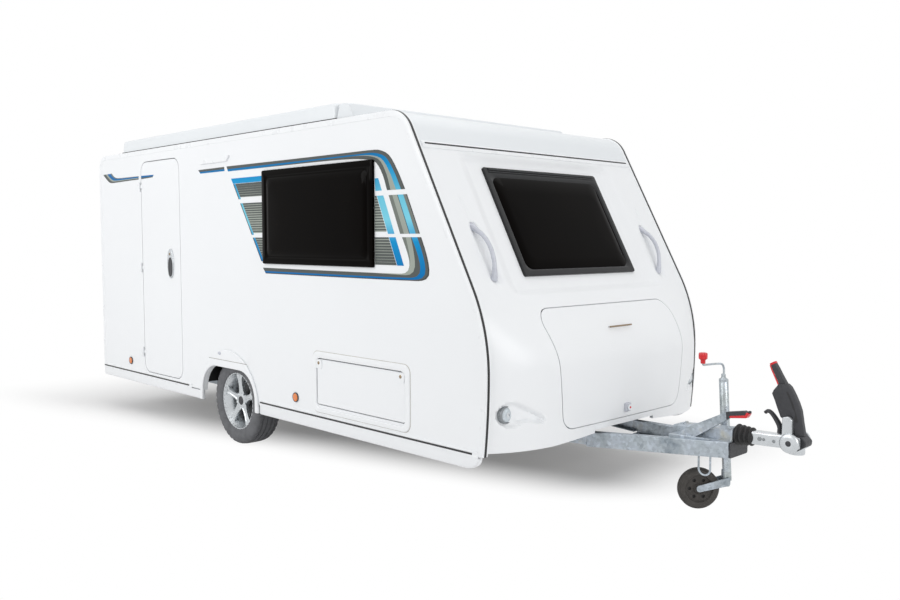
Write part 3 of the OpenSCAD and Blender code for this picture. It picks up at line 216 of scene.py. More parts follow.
M = {
    "white": finish_material("body_white_gloss", "#eff1f3", 0.4, vary=0.008, scale=1.2, grain=0.012,
        coat=0.06),
    # Darker copy of the body white for the roof, the lifting roof and the deflector: painted shade, so that
    # their sides show grey
    "roof": finish_material("roof_white_painted_shade", "#e4e8eb", 0.34, vary=0.01, scale=1.5, grain=0.05, coat=0.1),
    "rail": finish_material("rail_white_coat", "#eff1f3", 0.3, vary=0.012, scale=4.0, grain=0.03),
    "black": finish_material("trim_black_vinyl", "#19191b", 0.42, vary=0.12, scale=20.0, grain=0.06),
    "rubber": finish_material("rubber_black", "#1c1c1d", 0.62, vary=0.15, scale=30.0, grain=0.2),
    "tyre": finish_material("tyre_rubber", "#646568", 0.8, vary=0.16, scale=18.0, grain=0.3,
        grain_scale=500.0),
    "pane": finish_material("tinted_acrylic", "#050302", 0.06, vary=0.25, scale=3.0, grain=0.004,
        rough_vary=0.02, spec=0.03),
    "frame": finish_material("window_frame_grey", "#1d1e20", 0.36, vary=0.08, scale=12.0, grain=0.08,
        spec=0.3),
    "plastic": finish_material("black_grained_plastic", "#2e2f33", 0.5, vary=0.1, scale=25.0, grain=0.3,
        grain_scale=700.0),
    "alloy": finish_material("cast_alloy_lacquer", "#c6cacd", 0.3, 0.85, vary=0.05, scale=14.0, grain=0.06,
        coat=0.2),
    "chrome": finish_material("bright_chrome", "#d6dadd", 0.12, 0.95, vary=0.05, scale=30.0, grain=0.02,
        rough_vary=0.04),
    "handle": finish_material("pale_grey_plastic", "#c6c9d2", 0.28, vary=0.02, scale=10.0, grain=0.03),
    "red": finish_material("red_plastic", "#d0101c", 0.3, vary=0.06, scale=20.0, grain=0.05, coat=0.2),
    "zinc": galvanised("galvanised_steel", "#b9c2c9", "#8f9aa3", 0.42),
    "zinc_bright": galvanised("bright_zinc_tube", "#c9d1d3", "#9fa8a8", 0.26),
    "blue": blue_film("blue_film"),
    "film_dark": film("dark_grey_film", "#545957"),
    "film_mid": film("mid_grey_film", "#737973"),
    "film_light": film("light_grey_film", "#9da49b"),
    "film_navy": film("navy_film", "#123a5c"),
    "canvas": woven("roof_canvas_weave", "#c3beb2"),
    "wood": finish_material("floor_ply", "#5d564b", 0.7, vary=0.15, scale=6.0, grain=0.3, grain_scale=90.0,
        stretch=(1, 8, 1)),
    "amber": lens("amber_lens", "#ea7a08", 140.0),
    "ruby": lens("red_lens", "#a30d12", 60.0),
    "clear": lens("clear_lens", "#c9d2d8", 150.0, 0.08),
    "brown": finish_material("aged_brass", "#8f7d66", 0.4, 0.8, vary=0.15, scale=60.0, grain=0.1),
    "castor": finish_material("castor_rubber", "#43403d", 0.75, vary=0.15, scale=25.0, grain=0.2),
    "bezel": finish_material("lamp_bezel_grey", "#8d9194", 0.35, 0.5, vary=0.06, scale=20.0, grain=0.05),
    "line": finish_material("moulding_line_grey", "#bdbab2", 0.6, vary=0.05, scale=12.0, grain=0.05),
    "gap": finish_material("seam_grey", "#8b8880", 0.6, vary=0.08, scale=20.0, grain=0.05),
}


# Mesh tools

def put(name, data):
    ob = bpy.data.objects.new(name, data)
    scene.collection.objects.link(ob)
    return ob


def soften(ob, width, segments, angle):
    """Bevels the edges sharper than an angle in degrees."""
    b = ob.modifiers.new("edges", "BEVEL")
    b.width = width
    b.segments = segments
    b.limit_method = "ANGLE"
    b.angle_limit = radians(angle)


def make(name, verts, faces, mat, body="caravan", crease=35.0, bevel=0.0, segments=2):
    """A mesh piece that rides on a body, smooth but for edges sharper than crease."""
    me = bpy.data.meshes.new(name)
    me.from_pydata([tuple(v) for v in verts], [], [tuple(f) for f in faces])
    bm = bmesh.new()
    bm.from_mesh(me)
    bmesh.ops.remove_doubles(bm, verts=bm.verts, dist=1e-6)
    bmesh.ops.recalc_face_normals(bm, faces=bm.faces)
    limit = radians(crease)
    for f in bm.faces:
        f.smooth = True
    for e in bm.edges:
        e.smooth = len(e.link_faces) == 2 and e.calc_face_angle(0.0) < limit
    bm.to_mesh(me)
    bm.free()
    ob = put(name, me)
    me.materials.append(M[mat])
    if bevel:
        soften(ob, bevel, segments, 40)
    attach(ob, body)
    return ob


def join(*parts):
    """One vertex and face list out of several."""
    verts, faces = [], []
    for v, f in parts:
        k = len(verts)
        verts += [tuple(p) for p in v]
        faces += [tuple(i + k for i in q) for q in f]
    return verts, faces


def moved(shape, f):
    return [f(*v) for v in shape[0]], shape[1]


def mirrored(shape):
    return [(v[0], -v[1], v[2]) for v in shape[0]], shape[1]


def loft(loops, cap0=True, cap1=True):
    """Skin over loops of equally many points."""
    n = len(loops[0])
    verts = [p for l in loops for p in l]
    faces = []
    for i in range(len(loops) - 1):
        for j in range(n):
            k = (j + 1) % n
            faces.append((i * n + j, i * n + k, i * n + n + k, i * n + n + j))
    if cap0:
        faces.append(tuple(range(n)))
    if cap1:
        faces.append(tuple(reversed(range((len(loops) - 1) * n, len(loops) * n))))
    return verts, faces


def turns(n):
    """Angles of n even steps round a circle."""
    return [2 * pi * j / n for j in range(n)]


def lathe(profile, n, place):
    """Turns a closed profile of (radius, height) points about local Z."""
    loops = [[place(r * cos(a), r * sin(a), h) for a in turns(n)]
             for r, h in profile]
    return loft(loops + [loops[0]], False, False)


def dome(top, profile, n, place):
    """Turned button closed at its axis, with its crown at top."""
    return lathe([(AXIS_R, top)] + profile + [(AXIS_R, profile[-1][1])], n, place)


def sweep(path, profile, normals):
    """Sweeps a closed profile of (across, out) points: across is +Y, out is the path's normal."""
    loops = [[tuple(p + nrm * o + Vector((0, a, 0))) for a, o in profile] for p, nrm in zip(path, normals)]
    return loft(loops)


def tube(path, r, n=14):
    """Round bar along a list of points, or one radius per point."""
    pts = [Vector(p) for p in path]
    radii = r if isinstance(r, list) else [r] * len(pts)
    ref = Vector((0, 0, 1))
    loops = []
    side = None
    for i, p in enumerate(pts):
        t = (pts[min(i + 1, len(pts) - 1)] - pts[max(i - 1, 0)]).normalized()
        if side is None:
            side = t.cross(ref if abs(t.z) < 0.9 else Vector((1, 0, 0))).normalized()
        side = (side - t * side.dot(t)).normalized()
        up = t.cross(side)
        loops.append([tuple(p + (side * cos(a) + up * sin(a)) * radii[i])
                      for a in turns(n)])
    return loft(loops)


def smooth(points, n):
    """Even spline through points."""
    p = np.array(points, float)
    d = np.concatenate([[0], np.cumsum(np.linalg.norm(np.diff(p, axis=0), axis=1))])
    t = np.linspace(0, d[-1], n)
    m = np.zeros_like(p)
    m[1:-1] = (p[2:] - p[:-2]) / (d[2:] - d[:-2])[:, None]
    m[0] = (p[1] - p[0]) / d[1]
    m[-1] = (p[-1] - p[-2]) / (d[-1] - d[-2])
    i = np.clip(np.searchsorted(d, t, side="right") - 1, 0, len(d) - 2)
    h = (d[i + 1] - d[i])[:, None]
    u = ((t - d[i])[:, None]) / h
    return list(map(tuple, (2 * u**3 - 3 * u**2 + 1) * p[i] + (u**3 - 2 * u**2 + u) * h * m[i]
                    + (3 * u**2 - 2 * u**3) * p[i + 1] + (u**3 - u**2) * h * m[i + 1]))


def rounded(points, radii, n):
    """Polygon with its corners rounded."""
    out = []
    k = len(points)
    for i in range(k):
        a, b, c = (Vector(points[(i + d) % k]) for d in (-1, 0, 1))
        u, v = (a - b).normalized(), (c - b).normalized()
        h = math.acos(max(-1, min(1, u.dot(v)))) / 2
        r = max(1e-5, radii[i] if isinstance(radii, list) else radii)
        o = b + (u + v).normalized() * r / sin(h)
        p, q = b + u * r / tan(h) - o, b + v * r / tan(h) - o
        a0 = math.atan2(p.y, p.x)
        turn = (math.atan2(q.y, q.x) - a0 + pi) % (2 * pi) - pi
        out += [(o.x + r * cos(a0 + turn * j / n), o.y + r * sin(a0 + turn * j / n)) for j in range(n + 1)]
    return out


def soft_rect(x0, x1, z0, z1, r, n):
    return rounded([(x0, z0), (x1, z0), (x1, z1), (x0, z1)], r, n)


def inset(rect, d, r, n):
    x0, x1, z0, z1 = rect
    return soft_rect(x0 + d, x1 - d, z0 + d, z1 - d, r, n)


def hex_bolt(rows, place):
    """Six-sided head from rows of radius and height."""
    return loft([[place(r * cos(a), r * sin(a), h) for a in turns(6)] for r, h in rows])


def prism(outline, a, b, place):
    """Plate between a and b from a flat outline; place maps (u, v, w) to a point."""
    return loft([[place(u, v, a) for u, v in outline], [place(u, v, b) for u, v in outline]])


def nested(rect, steps, place, n=6):
    """Moulded panel of rounded rectangles, one inside the other: set in by d, at height h, corners r."""
    last = steps[-1]
    return loft([[place(u, v, h) for u, v in inset(rect, d, r, n)]
        for d, h, r in steps + [(last[0] + 0.004,) + last[1:]]])


def on_right(x, z, w):
    """Right side: w is how far out of the wall."""
    return REAR + x, -HALF_W - w, z


def on_left(x, z, w):
    return REAR + x, HALF_W + w, z


SIDES = (("right", on_right), ("left", on_left))
SIGNS = (("right", -1), ("left", 1))


# Front moulding: the surface of the CAD source, but with a bow that fades more slowly upwards and with
# finer relief

RAKE = radians(28.4)
NOSE_R, NOSE_X, NOSE_Z = 0.9, 3.555, 0.74
TUCK_R, TUCK_X = 3.6, 0.855
FOOT_X, FOOT_Z = NOSE_X + NOSE_R * cos(RAKE), NOSE_Z + NOSE_R * sin(RAKE)
# How far the middle bows out, where that ends and the height it fades over
BOW, BOW_TOP, BOW_RUN = 0.158, 1.232, 0.472
BROW_Z = 1.903
BROW_R = 0.18
BROW_CZ = ROOF_Z - BROW_R
BROW_CX = NOSE_X + (NOSE_R - BROW_R - (BROW_CZ - NOSE_Z) * sin(RAKE)) / cos(RAKE)
BROW_JOINT_X = FOOT_X - (BROW_Z - FOOT_Z) * tan(RAKE)


def ease(t):
    c = np.clip(t, 0, 1)
    return c * c * (3 - 2 * c)


def front_x(y, z):
    """Outer surface of the front moulding, without relief, from the rear wall."""
    y, z = np.asarray(y, float), np.asarray(z, float)
    low = np.where(z > NOSE_Z, NOSE_X + np.sqrt(np.maximum(0, NOSE_R**2 - (z - NOSE_Z) ** 2)),
                   TUCK_X + np.sqrt(np.maximum(0, TUCK_R**2 - (z - NOSE_Z) ** 2)))
    base = np.where(z > FOOT_Z, FOOT_X - (z - FOOT_Z) * tan(RAKE), low)
    bow = BOW * ease((BOW_TOP - z) / BOW_RUN)
    return base + bow * (1 - np.minimum(1, np.abs(y) / INNER_HW) ** 5)


def capsule(y, z, a, b, ra, rb):
    """How deep a point lies in a tapered slot from a to b: 1 on its middle line, 0 at its edge."""
    d = np.array(b) - np.array(a)
    t = np.clip(((y - a[0]) * d[0] + (z - a[1]) * d[1]) / (d @ d), 0, 1)
    r = ra + (rb - ra) * t
    return 1 - np.hypot(y - a[0] - t * d[0], z - a[1] - t * d[1]) / r


LAMP_Y, LAMP_Z = 0.848, 0.545
MESH_STEP = 0.012


def relief(y, z):
    """Depth of the hollows in the front moulding, all of them even about the middle."""
    a = np.abs(y)
    # Window recess, hollow behind the grab handle with its tail, lamp bowl and the groove that runs from it
    depth = 0.026 * ease(1 + (0.60 - a) / 0.1)
    depth = depth * ease(1 + (z - 1.142) / 0.018) * ease(1 + (1.834 - z) / 0.05)
    depth = depth + 0.020 * ease(capsule(a, z, (0.755, 1.215), (0.768, 1.47), 0.044, 0.032) / 0.5)
    depth = depth + 0.006 * ease(capsule(a, z, (0.768, 1.44), (0.80, 1.64), 0.024, 0.004) / 0.9)
    depth = depth + 0.028 * ease(capsule(a, z, (LAMP_Y, LAMP_Z), (LAMP_Y - 0.01, LAMP_Z), 0.064,
        0.064) / 0.2)
    depth = np.maximum(depth, 0.030 * ease(capsule(a, z, (LAMP_Y - 0.03, LAMP_Z + 0.012), (0.69, 0.515),
        0.046, 0.02) / 0.3))
    return depth


def lid_outline(gap):
    return rounded([(-0.535 - gap, 0.438 - gap), (0.535 + gap, 0.438 - gap), (0.604 + gap, 1.05 + gap),
                    (-0.604 - gap, 1.05 + gap)], 0.085 + gap, 10)


def dense(loop, step):
    """Closed outline with points no further apart than step."""
    out = []
    for p, q in zip(loop, loop[1:] + loop[:1]):
        k = max(1, int(math.dist(p, q) / step))
        out += [(p[0] + (q[0] - p[0]) * i / k, p[1] + (q[1] - p[1]) * i / k) for i in range(k)]
    return out


def inside_many(p, loop):
    hit = np.zeros(len(p), bool)
    for (x0, y0), (x1, y1) in zip(loop, loop[1:] + loop[:1]):
        if y0 == y1:
            continue
        hit ^= ((y0 > p[:, 1]) != (y1 > p[:, 1])) & (p[:, 0] < (x1 - x0) * (p[:, 1] - y0) / (y1 - y0) + x0)
    return hit


def front_sheet(outer, holes, step):
    """Triangulated sheet of the front surface between an outline and its holes."""
    loops = [dense(l, step) for l in [outer] + holes]
    pts, edges = [], []
    for l in loops:
        k = len(pts)
        pts += l
        edges += [(k + i, k + (i + 1) % len(l)) for i in range(len(l))]
    ys = np.arange(-INNER_HW + step, INNER_HW, step)
    zs = np.arange(0.3, BROW_Z, step)
    grid = np.array([(y, z) for z in zs for y in ys])
    keep = inside_many(grid, loops[0])
    for l in loops[1:]:
        keep &= ~inside_many(grid, l)
    rim = np.array(pts)
    grid = grid[keep]
    near = np.array([np.min(np.abs(rim[:, 0] - g[0]) + np.abs(rim[:, 1] - g[1])) for g in grid])
    pts += [tuple(g) for g in grid[near > step * 0.6]]
    v, _, f, *_ = delaunay_2d_cdt([Vector(p) for p in pts], edges, [], 0, 1e-6)
    v = np.array(v)
    mid = np.array([v[list(t)].mean(0) for t in f])
    good = inside_many(mid, loops[0])
    for l in loops[1:]:
        good &= ~inside_many(mid, l)
    x = front_x(v[:, 0], v[:, 1])
    slope = np.where(v[:, 1] > 1.1, cos(RAKE), 1.0)
    x = x - relief(v[:, 0], v[:, 1]) / slope
    return [(REAR + a, b, c) for a, (b, c) in zip(x, v)], [tuple(t) for t, g in zip(f, good) if g]


def skin(name, outer, holes, body, thick):
    """Piece of the front moulding, thickened inwards."""
    ob = make(name, *front_sheet(outer, holes, MESH_STEP), "white", body, crease=50)
    normal = ob.data.polygons[len(ob.data.polygons) // 2].normal
    s = ob.modifiers.new("thickness", "SOLIDIFY")
    s.thickness = thick
    s.offset = -1 if normal.x > 0 else 1
    return ob


NOTCH_HW, NOTCH_Z = 0.2748, 0.402
front_outline = [(-INNER_HW, 0.356), (-0.6, 0.362), (-NOTCH_HW, 0.384), (-NOTCH_HW, NOTCH_Z),
    (NOTCH_HW, NOTCH_Z), (NOTCH_HW, 0.384), (0.6, 0.362), (INNER_HW, 0.356), (INNER_HW, BROW_Z),
    (-INNER_HW, BROW_Z)]
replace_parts(skin("front_moulding", front_outline, [lid_outline(0.005)], "caravan", 0.02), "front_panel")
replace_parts(skin("locker_lid_skin", lid_outline(0), [], "gas_lid", 0.02),
    "locker_lid")


def on_front(y, z, w):
    """Point on the front moulding, w out of it along the rake."""
    slope = RAKE if z > FOOT_Z else math.asin((z - NOSE_Z) / (NOSE_R if z > NOSE_Z else TUCK_R))
    x = float(front_x(y, z)) - float(relief(np.array([y]), np.array([z]))[0])
    return REAR + x + w * cos(slope), y, z + w * sin(slope)


# Rails along the body's edges, with their black insert

def side_path(z0):
    """Edge of the body in X and Z, from the front's foot over the roof to the rear, with its normals."""
    pts, nrm = [], []

    def arc(cx, cz, r, a0, a1, n):
        for i in range(n + 1):
            a = a0 + (a1 - a0) * i / n
            pts.append(Vector((REAR + cx + r * cos(a), 0, cz + r * sin(a))))
            nrm.append(Vector((cos(a), 0, sin(a))))

    arc(TUCK_X, NOSE_Z, TUCK_R, math.asin((z0 - NOSE_Z) / TUCK_R), -0.004, 12)
    arc(NOSE_X, NOSE_Z, NOSE_R, 0, RAKE, 36)
    arc(BROW_CX, BROW_CZ, BROW_R, RAKE, pi / 2, 20)
    arc(0.1, ROOF_Z - 0.1, 0.1, pi / 2, pi, 12)
    pts.append(Vector((REAR, 0, 0.34)))
    nrm.append(Vector((-1, 0, 0)))
    return pts, nrm


path, norm = side_path(0.342)
rail_profile = [(-HALF_W + d, o)
    for d, o in ((0.0005, -0.030), (-0.0025, -0.029), (-0.0035, -0.004), (-0.0015, 0.003), (0.003, 0.0045),
    (0.008, 0.0045), (0.008, 0.0025), (0.025, 0.0025), (0.025, 0.0045), (0.034, 0.004), (0.038, 0.0),
    (0.038, -0.004), (0.005, -0.004))]
insert_profile = [(-HALF_W + d, o)
    for d, o in ((0.0085, 0.0026), (0.0085, 0.0052), (0.0105, 0.0064), (0.0225, 0.0064), (0.0245, 0.0052),
    (0.0245, 0.0026))]
for side, flip in (("right", False), ("left", True)):
    for tag, prof, mat in (("edge_rail", rail_profile, "rail"), ("edge_insert", insert_profile, "black")):
        shape = sweep(path, prof, norm)
        make(f"{tag}_{side}", *(mirrored(shape) if flip else shape), mat, crease=30)

brow_n = Vector((cos(RAKE), 0, sin(RAKE)))
brow_u = Vector((-sin(RAKE), 0, cos(RAKE)))
brow_p = Vector((REAR + BROW_JOINT_X, 0, BROW_Z))


def brow_bar(name, outline, hw, mat):
    loops = [[tuple(brow_p + brow_u * u + brow_n * n + Vector((0, y, 0))) for u, n in outline]
        for y in (-hw, -hw * 0.5, 0, hw * 0.5, hw)]
    return make(name, *loft(loops), mat, crease=30)


brow_bar("brow_rail", [(-0.020, 0.0), (-0.019, 0.005), (0.0, 0.0075), (0.002, 0.0055), (0.010, 0.0055),
    (0.012, 0.0075), (0.021, 0.004), (0.022, 0.0)], 0.926, "rail")
brow_bar("brow_insert", [(0.0025, 0.005), (0.0025, 0.0085), (0.0095, 0.0085), (0.0095, 0.005)], 0.903,
    "black")

SKIRT_RUNS = [(0.0, 1.50), (2.425, 4.385)]
for side, place in SIDES:
    for i, (a, b) in enumerate(SKIRT_RUNS):
        outline = [(0.332, 0.0), (0.332, 0.004), (0.341, 0.005), (0.345, 0.003), (0.355, 0.003),
            (0.359, 0.005), (0.366, 0.0035), (0.367, 0.0)]
        rail = loft([[place(x, z, w) for z, w in outline] for x in (a, (a + b) / 2, b + 0.02)])
        make(f"sill_rail_{side}_{i}", *rail, "rail", crease=30)
        strip = loft([[place(x, z, w) for z, w in ((0.3455, 0.002), (0.3455, 0.0055), (0.3545, 0.0055),
            (0.3545, 0.002))] for x in (a + 0.01, b - 0.02)])
        make(f"sill_insert_{side}_{i}", *strip, "black")


SKIRT_Z0, SKIRT_Z1, ARCH_X = 0.267, 0.332, 1.655


def skirt_section(x, foot, sign):
    half = [(HALF_W, SKIRT_Z1), (HALF_W, min(0.331, foot + 0.012)),
        (HALF_W - 0.004, min(0.3305, foot + 0.004)), (HALF_W - 0.012, foot), (INNER_HW, foot),
        (INNER_HW, SKIRT_Z1)]
    return [(REAR + x, sign * y, z) for y, z in half]


# Feet of each run, as x and height: the rear run ends square at the arch, the front one sweeps up
rear_a, front_a, front_b = SKIRT_RUNS[0][0], *SKIRT_RUNS[1]
SKIRT_FEET = [[(rear_a, SKIRT_Z0), (ARCH_X - 0.08, SKIRT_Z0), (ARCH_X, SKIRT_Z0)],
              [(front_a, SKIRT_Z0), (front_b - 0.08, SKIRT_Z0)]
              + [(front_b - 0.08 + 0.1 * sin(k), SKIRT_Z0 + 0.058 * (1 - cos(k)))
                 for k in np.linspace(0.2, 1.5, 9)]]
for side, sign in SIGNS:
    runs = [loft([skirt_section(x, foot, sign) for x, foot in feet]) for feet in SKIRT_FEET]
    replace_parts(make(f"skirt_moulding_{side}", *join(*runs), "white", crease=30),
        f"skirt_{side}")


# Side decals: printed film in thin layers, no lettering

FILM = 0.0009
OUTER_RUNS = [
    ([(1.671, 1.893), (2.025, 1.895)], [(1.702, 1.867), (2.03, 1.867)]),
    ([(2.058, 1.896), (2.8, 1.895), (3.4, 1.895), (3.57, 1.895), (3.66, 1.89), (3.74, 1.857),
      (3.812, 1.767), (3.869, 1.672)],
     [(2.074, 1.862), (2.7, 1.862), (3.2, 1.861), (3.43, 1.856), (3.55, 1.846), (3.625, 1.829),
      (3.684, 1.760), (3.722, 1.672)]),
    ([(3.883, 1.645), (3.935, 1.54), (3.983, 1.438)], [(3.735, 1.645), (3.783, 1.54), (3.828, 1.438)]),
    ([(3.993, 1.420), (4.03, 1.34), (4.052, 1.27), (4.051, 1.222), (4.012, 1.197), (3.9, 1.192),
      (3.3, 1.191), (2.52, 1.192)],
     [(3.843, 1.420), (3.882, 1.345), (3.903, 1.285), (3.893, 1.247), (3.863, 1.230), (3.78, 1.226),
      (3.2, 1.226), (2.488, 1.228)]),
]
# Films of each run from its outer edge in, each with where it ends: one share, or shares at places
# along the run
RUN_FILMS = [
    [("black", 0.05), ("film_dark", 0.55), ("blue", 1.0)],
    [("black", 0.04), ("film_dark", [(0, 0.56), (0.5, 0.5), (0.75, 0.42), (0.88, 0.25), (1, 0.22)]),
     ("blue", [(0, 1), (0.2, 0.97), (0.5, 0.76), (0.75, 0.62), (0.88, 0.53), (1, 0.5)]),
     ("film_light", [(0, 1), (0.2, 0.97), (0.5, 0.76), (0.75, 0.62), (0.85, 0.66), (1, 0.8)]),
     ("film_dark", 1.0)],
    [("black", 0.04), ("film_mid", 0.2), ("blue", 0.5), ("film_navy", 0.53), ("film_light", 0.8),
     ("film_mid", 1.0)],
    [("black", [(0, 0.04), (0.12, 0.06), (0.25, 0.15), (1, 0.16)]),
     ("film_dark", [(0, 0.2), (0.12, 0.19), (0.25, 0.15), (1, 0.16)]),
     ("blue", [(0, 0.5), (0.12, 0.44), (0.3, 0.42), (1, 0.42)]),
     ("film_dark", [(0, 0.53), (0.08, 0.7), (0.15, 0.78), (0.3, 1), (1, 1)]),
     ("film_light", [(0, 0.8), (0.1, 0.98), (0.15, 1), (1, 1)]), ("film_mid", 1.0)],
]
REAR_FILMS = [("film_dark", 0.3), ("film_light", 0.5), ("blue", 0.86), ("film_mid", 1.0)]
REAR_RUN = ([(0.071, 1.943), (0.125, 1.908), (0.19, 1.875), (0.25, 1.868), (0.48, 1.871), (0.728, 1.874)],
            [(0.235, 1.945), (0.27, 1.922), (0.31, 1.908), (0.36, 1.902), (0.52, 1.900), (0.728, 1.899)])
DOOR_RUN = ([(0.774, 1.874), (0.965, 1.879)], [(0.774, 1.899), (0.985, 1.897)])


def films(run, bands, n, place):
    """Films side by side along a run, as (material, shape)."""
    o, i = (np.array(smooth(edge, n)) for edge in run)
    start = np.zeros(n)
    out = []
    for mat, share in bands:
        if isinstance(share, list):
            end = np.interp(np.linspace(0, 1, n), *zip(*share))
        else:
            end = np.full(n, share)
        a, b = o + (i - o) * start[:, None], o + (i - o) * end[:, None]
        keep = [k for k in range(n) if max(end[max(k - 1, 0):k + 2] - start[max(k - 1, 0):k + 2]) > 0.004]
        if len(keep) > 1:
            out.append((mat, loft([[place(*a[k], 0.0001), place(*b[k], 0.0001), place(*b[k], FILM),
                place(*a[k], FILM)] for k in keep])))
        start = end
    return out


# Striped panel round the side window: where the window cuts it off, the pitch of its stripes, and the
# heights of its three fields
PANE_X0, PANE_X1, PITCH = 2.502, 3.618, 0.015
GAPS = [(1.775, 1.672), (1.645, 1.438), (1.420, 1.269)]


def panel_left(z):
    return 2.113 + (1.813 - z) * (2.470 - 2.113) / (1.813 - 1.269)


def panel_right(z):
    return 3.636 + (1.645 - z) * (3.728 - 3.636) / (1.645 - 1.438)


for side, place in SIDES:
    layers = {}
    runs = list(zip(OUTER_RUNS, RUN_FILMS)) + [(REAR_RUN, REAR_FILMS)]
    if side == "left":
        runs.append((DOOR_RUN, REAR_FILMS))
    for run, bands in runs:
        for mat, shape in films(run, bands, 60 if len(run[0]) > 3 else 8, place):
            layers.setdefault(mat, []).append(shape)

    def band(mat, xa0, xa1, za, xb0, xb1, zb):
        """Flat film between xa0 and xa1 at height za and xb0 and xb1 at zb."""
        layers.setdefault(mat, []).append(prism([(xa0, za), (xa1, za), (xb1, zb), (xb0, zb)], 0.0001, FILM,
            place))

    band("blue", 2.113, 2.500, 1.812, 2.136, 2.500, 1.777)
    for z1, z0 in GAPS:
        for mat, a, b in (("black", 0.0, 0.009), ("blue", 0.009, 0.028)):
            band(mat, panel_left(z1) + a, panel_left(z1) + b, z1, panel_left(z0) + a, panel_left(z0) + b,
                z0)
        top = min(z1, 1.740)
        band("blue", max(PANE_X1, panel_right(top)), panel_right(top) + 0.054, top,
             max(PANE_X1, panel_right(z0)), panel_right(z0) + 0.054, z0)
        for k in range(int((z1 - z0) / PITCH)):
            za = z1 - k * PITCH
            share = (za - 1.269) / (1.775 - 1.269)
            zb = max(z0, za - PITCH * (0.45 + 0.5 * abs(2 * share - 1)))
            zc = max(z0, za - PITCH)
            right = panel_right(za) > 3.63
            band("film_dark", panel_left(za) + 0.03, PANE_X0, za, panel_left(zb) + 0.03, PANE_X0, zb)
            if right:
                band("film_dark", PANE_X1, panel_right(za) - 0.004, za, PANE_X1, panel_right(zb) - 0.004,
                    zb)
            band("film_light", panel_left(zb) + 0.03, PANE_X0, zb, panel_left(zb) + 0.03, PANE_X0, zc)
            if right and zb - zc > 1e-4:
                band("film_light", PANE_X1, panel_right(zb) - 0.004, zb, PANE_X1, panel_right(zb) - 0.004,
                    zc)
    for mat, shapes in layers.items():
        make(f"decal_{mat}_{side}", *join(*shapes), mat)
for mat, shape in films(DOOR_RUN, [("film_dark", 0.42), ("blue", 1.0)], 8, on_right):
    make(f"decal_{mat}_door", *shape, mat, "door")


# Windows

side_steps = [(0, 0.0005, 0.012), (0, 0.010, 0.012), (0.0015, 0.0145, 0.012), (0.005, 0.0165, 0.012),
    (0.036, 0.0165, 0.02), (0.042, 0.0115, 0.03), (0.052, 0.0115, 0.034), (0.060, 0.0165, 0.04),
    (0.09, 0.019, 0.05), (0.22, 0.0205, 0.05)]
SIDE_WIN = (2.505, 3.615, 1.254, 1.843)
for side, place in SIDES:
    ob = make(f"side_pane_{side}", *nested(SIDE_WIN, side_steps, place, 8), "pane", crease=28)
    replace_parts(ob, f"side_window_{side}")
rear_place = lambda y, z, w: (REAR - w, y, z)
ob = make("rear_pane", *nested((-0.516, 0.516, 1.25, 1.81), side_steps[:-1] + [(0.22, 0.020, 0.05)],
    rear_place, 8), "pane", crease=28)
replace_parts(ob, "rear_window")

win_o = Vector((REAR + FOOT_X, 0, FOOT_Z)) + brow_u * 0.061 - brow_n * 0.020


def on_window(u, v, w):
    """Front window plane: u across, v up the rake, w out of it."""
    return tuple(win_o + Vector((0, u, 0)) + brow_u * v + brow_n * w)


WIN = (-0.507, 0.507, 0.0, 0.672)
frame_steps = [(0, -0.04, 0.012), (0, 0.006, 0.012), (0.003, 0.0095, 0.012), (0.026, 0.011, 0.026),
    (0.032, 0.0095, 0.04), (0.036, 0.006, 0.05), (0.040, 0.002, 0.055)]
pane_steps = [(0.0385, 0.0, 0.055), (0.0385, 0.004, 0.055), (0.044, 0.0075, 0.06), (0.10, 0.0105, 0.06),
    (0.20, 0.0115, 0.05), (0.21, 0.0115, 0.05)]
TOP_BAR = 1.6  # the frame's top bar against its sides


def window_loops(steps):
    x0, x1, z0, z1 = WIN
    return [[on_window(u, v, h) for u, v in soft_rect(x0 + d, x1 - d, z0 + d, z1 - d * TOP_BAR, r, 8)]
        for d, h, r in steps]


make("front_window_frame", *loft(window_loops(frame_steps), True, False), "frame", crease=28)
ob = make("front_pane", *loft(window_loops(pane_steps)), "pane", crease=28)
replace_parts(ob, "front_window")
for k, (v0, v1) in enumerate(((0.638, 0.643), (0.651, 0.665))):
    make(f"window_top_bead_{k}", *prism(soft_rect(-0.478 + 0.004 * k, 0.478 - 0.004 * k, v0, v1, 0.002, 3),
        0.009, 0.0145, on_window), "frame", bevel=0.001)


# Road wheels

WHEEL_X, WHEEL_Y, TYRE_R = 2.0404, 0.8255, 0.298
RIM_R, BORE_R = 0.195, 0.187


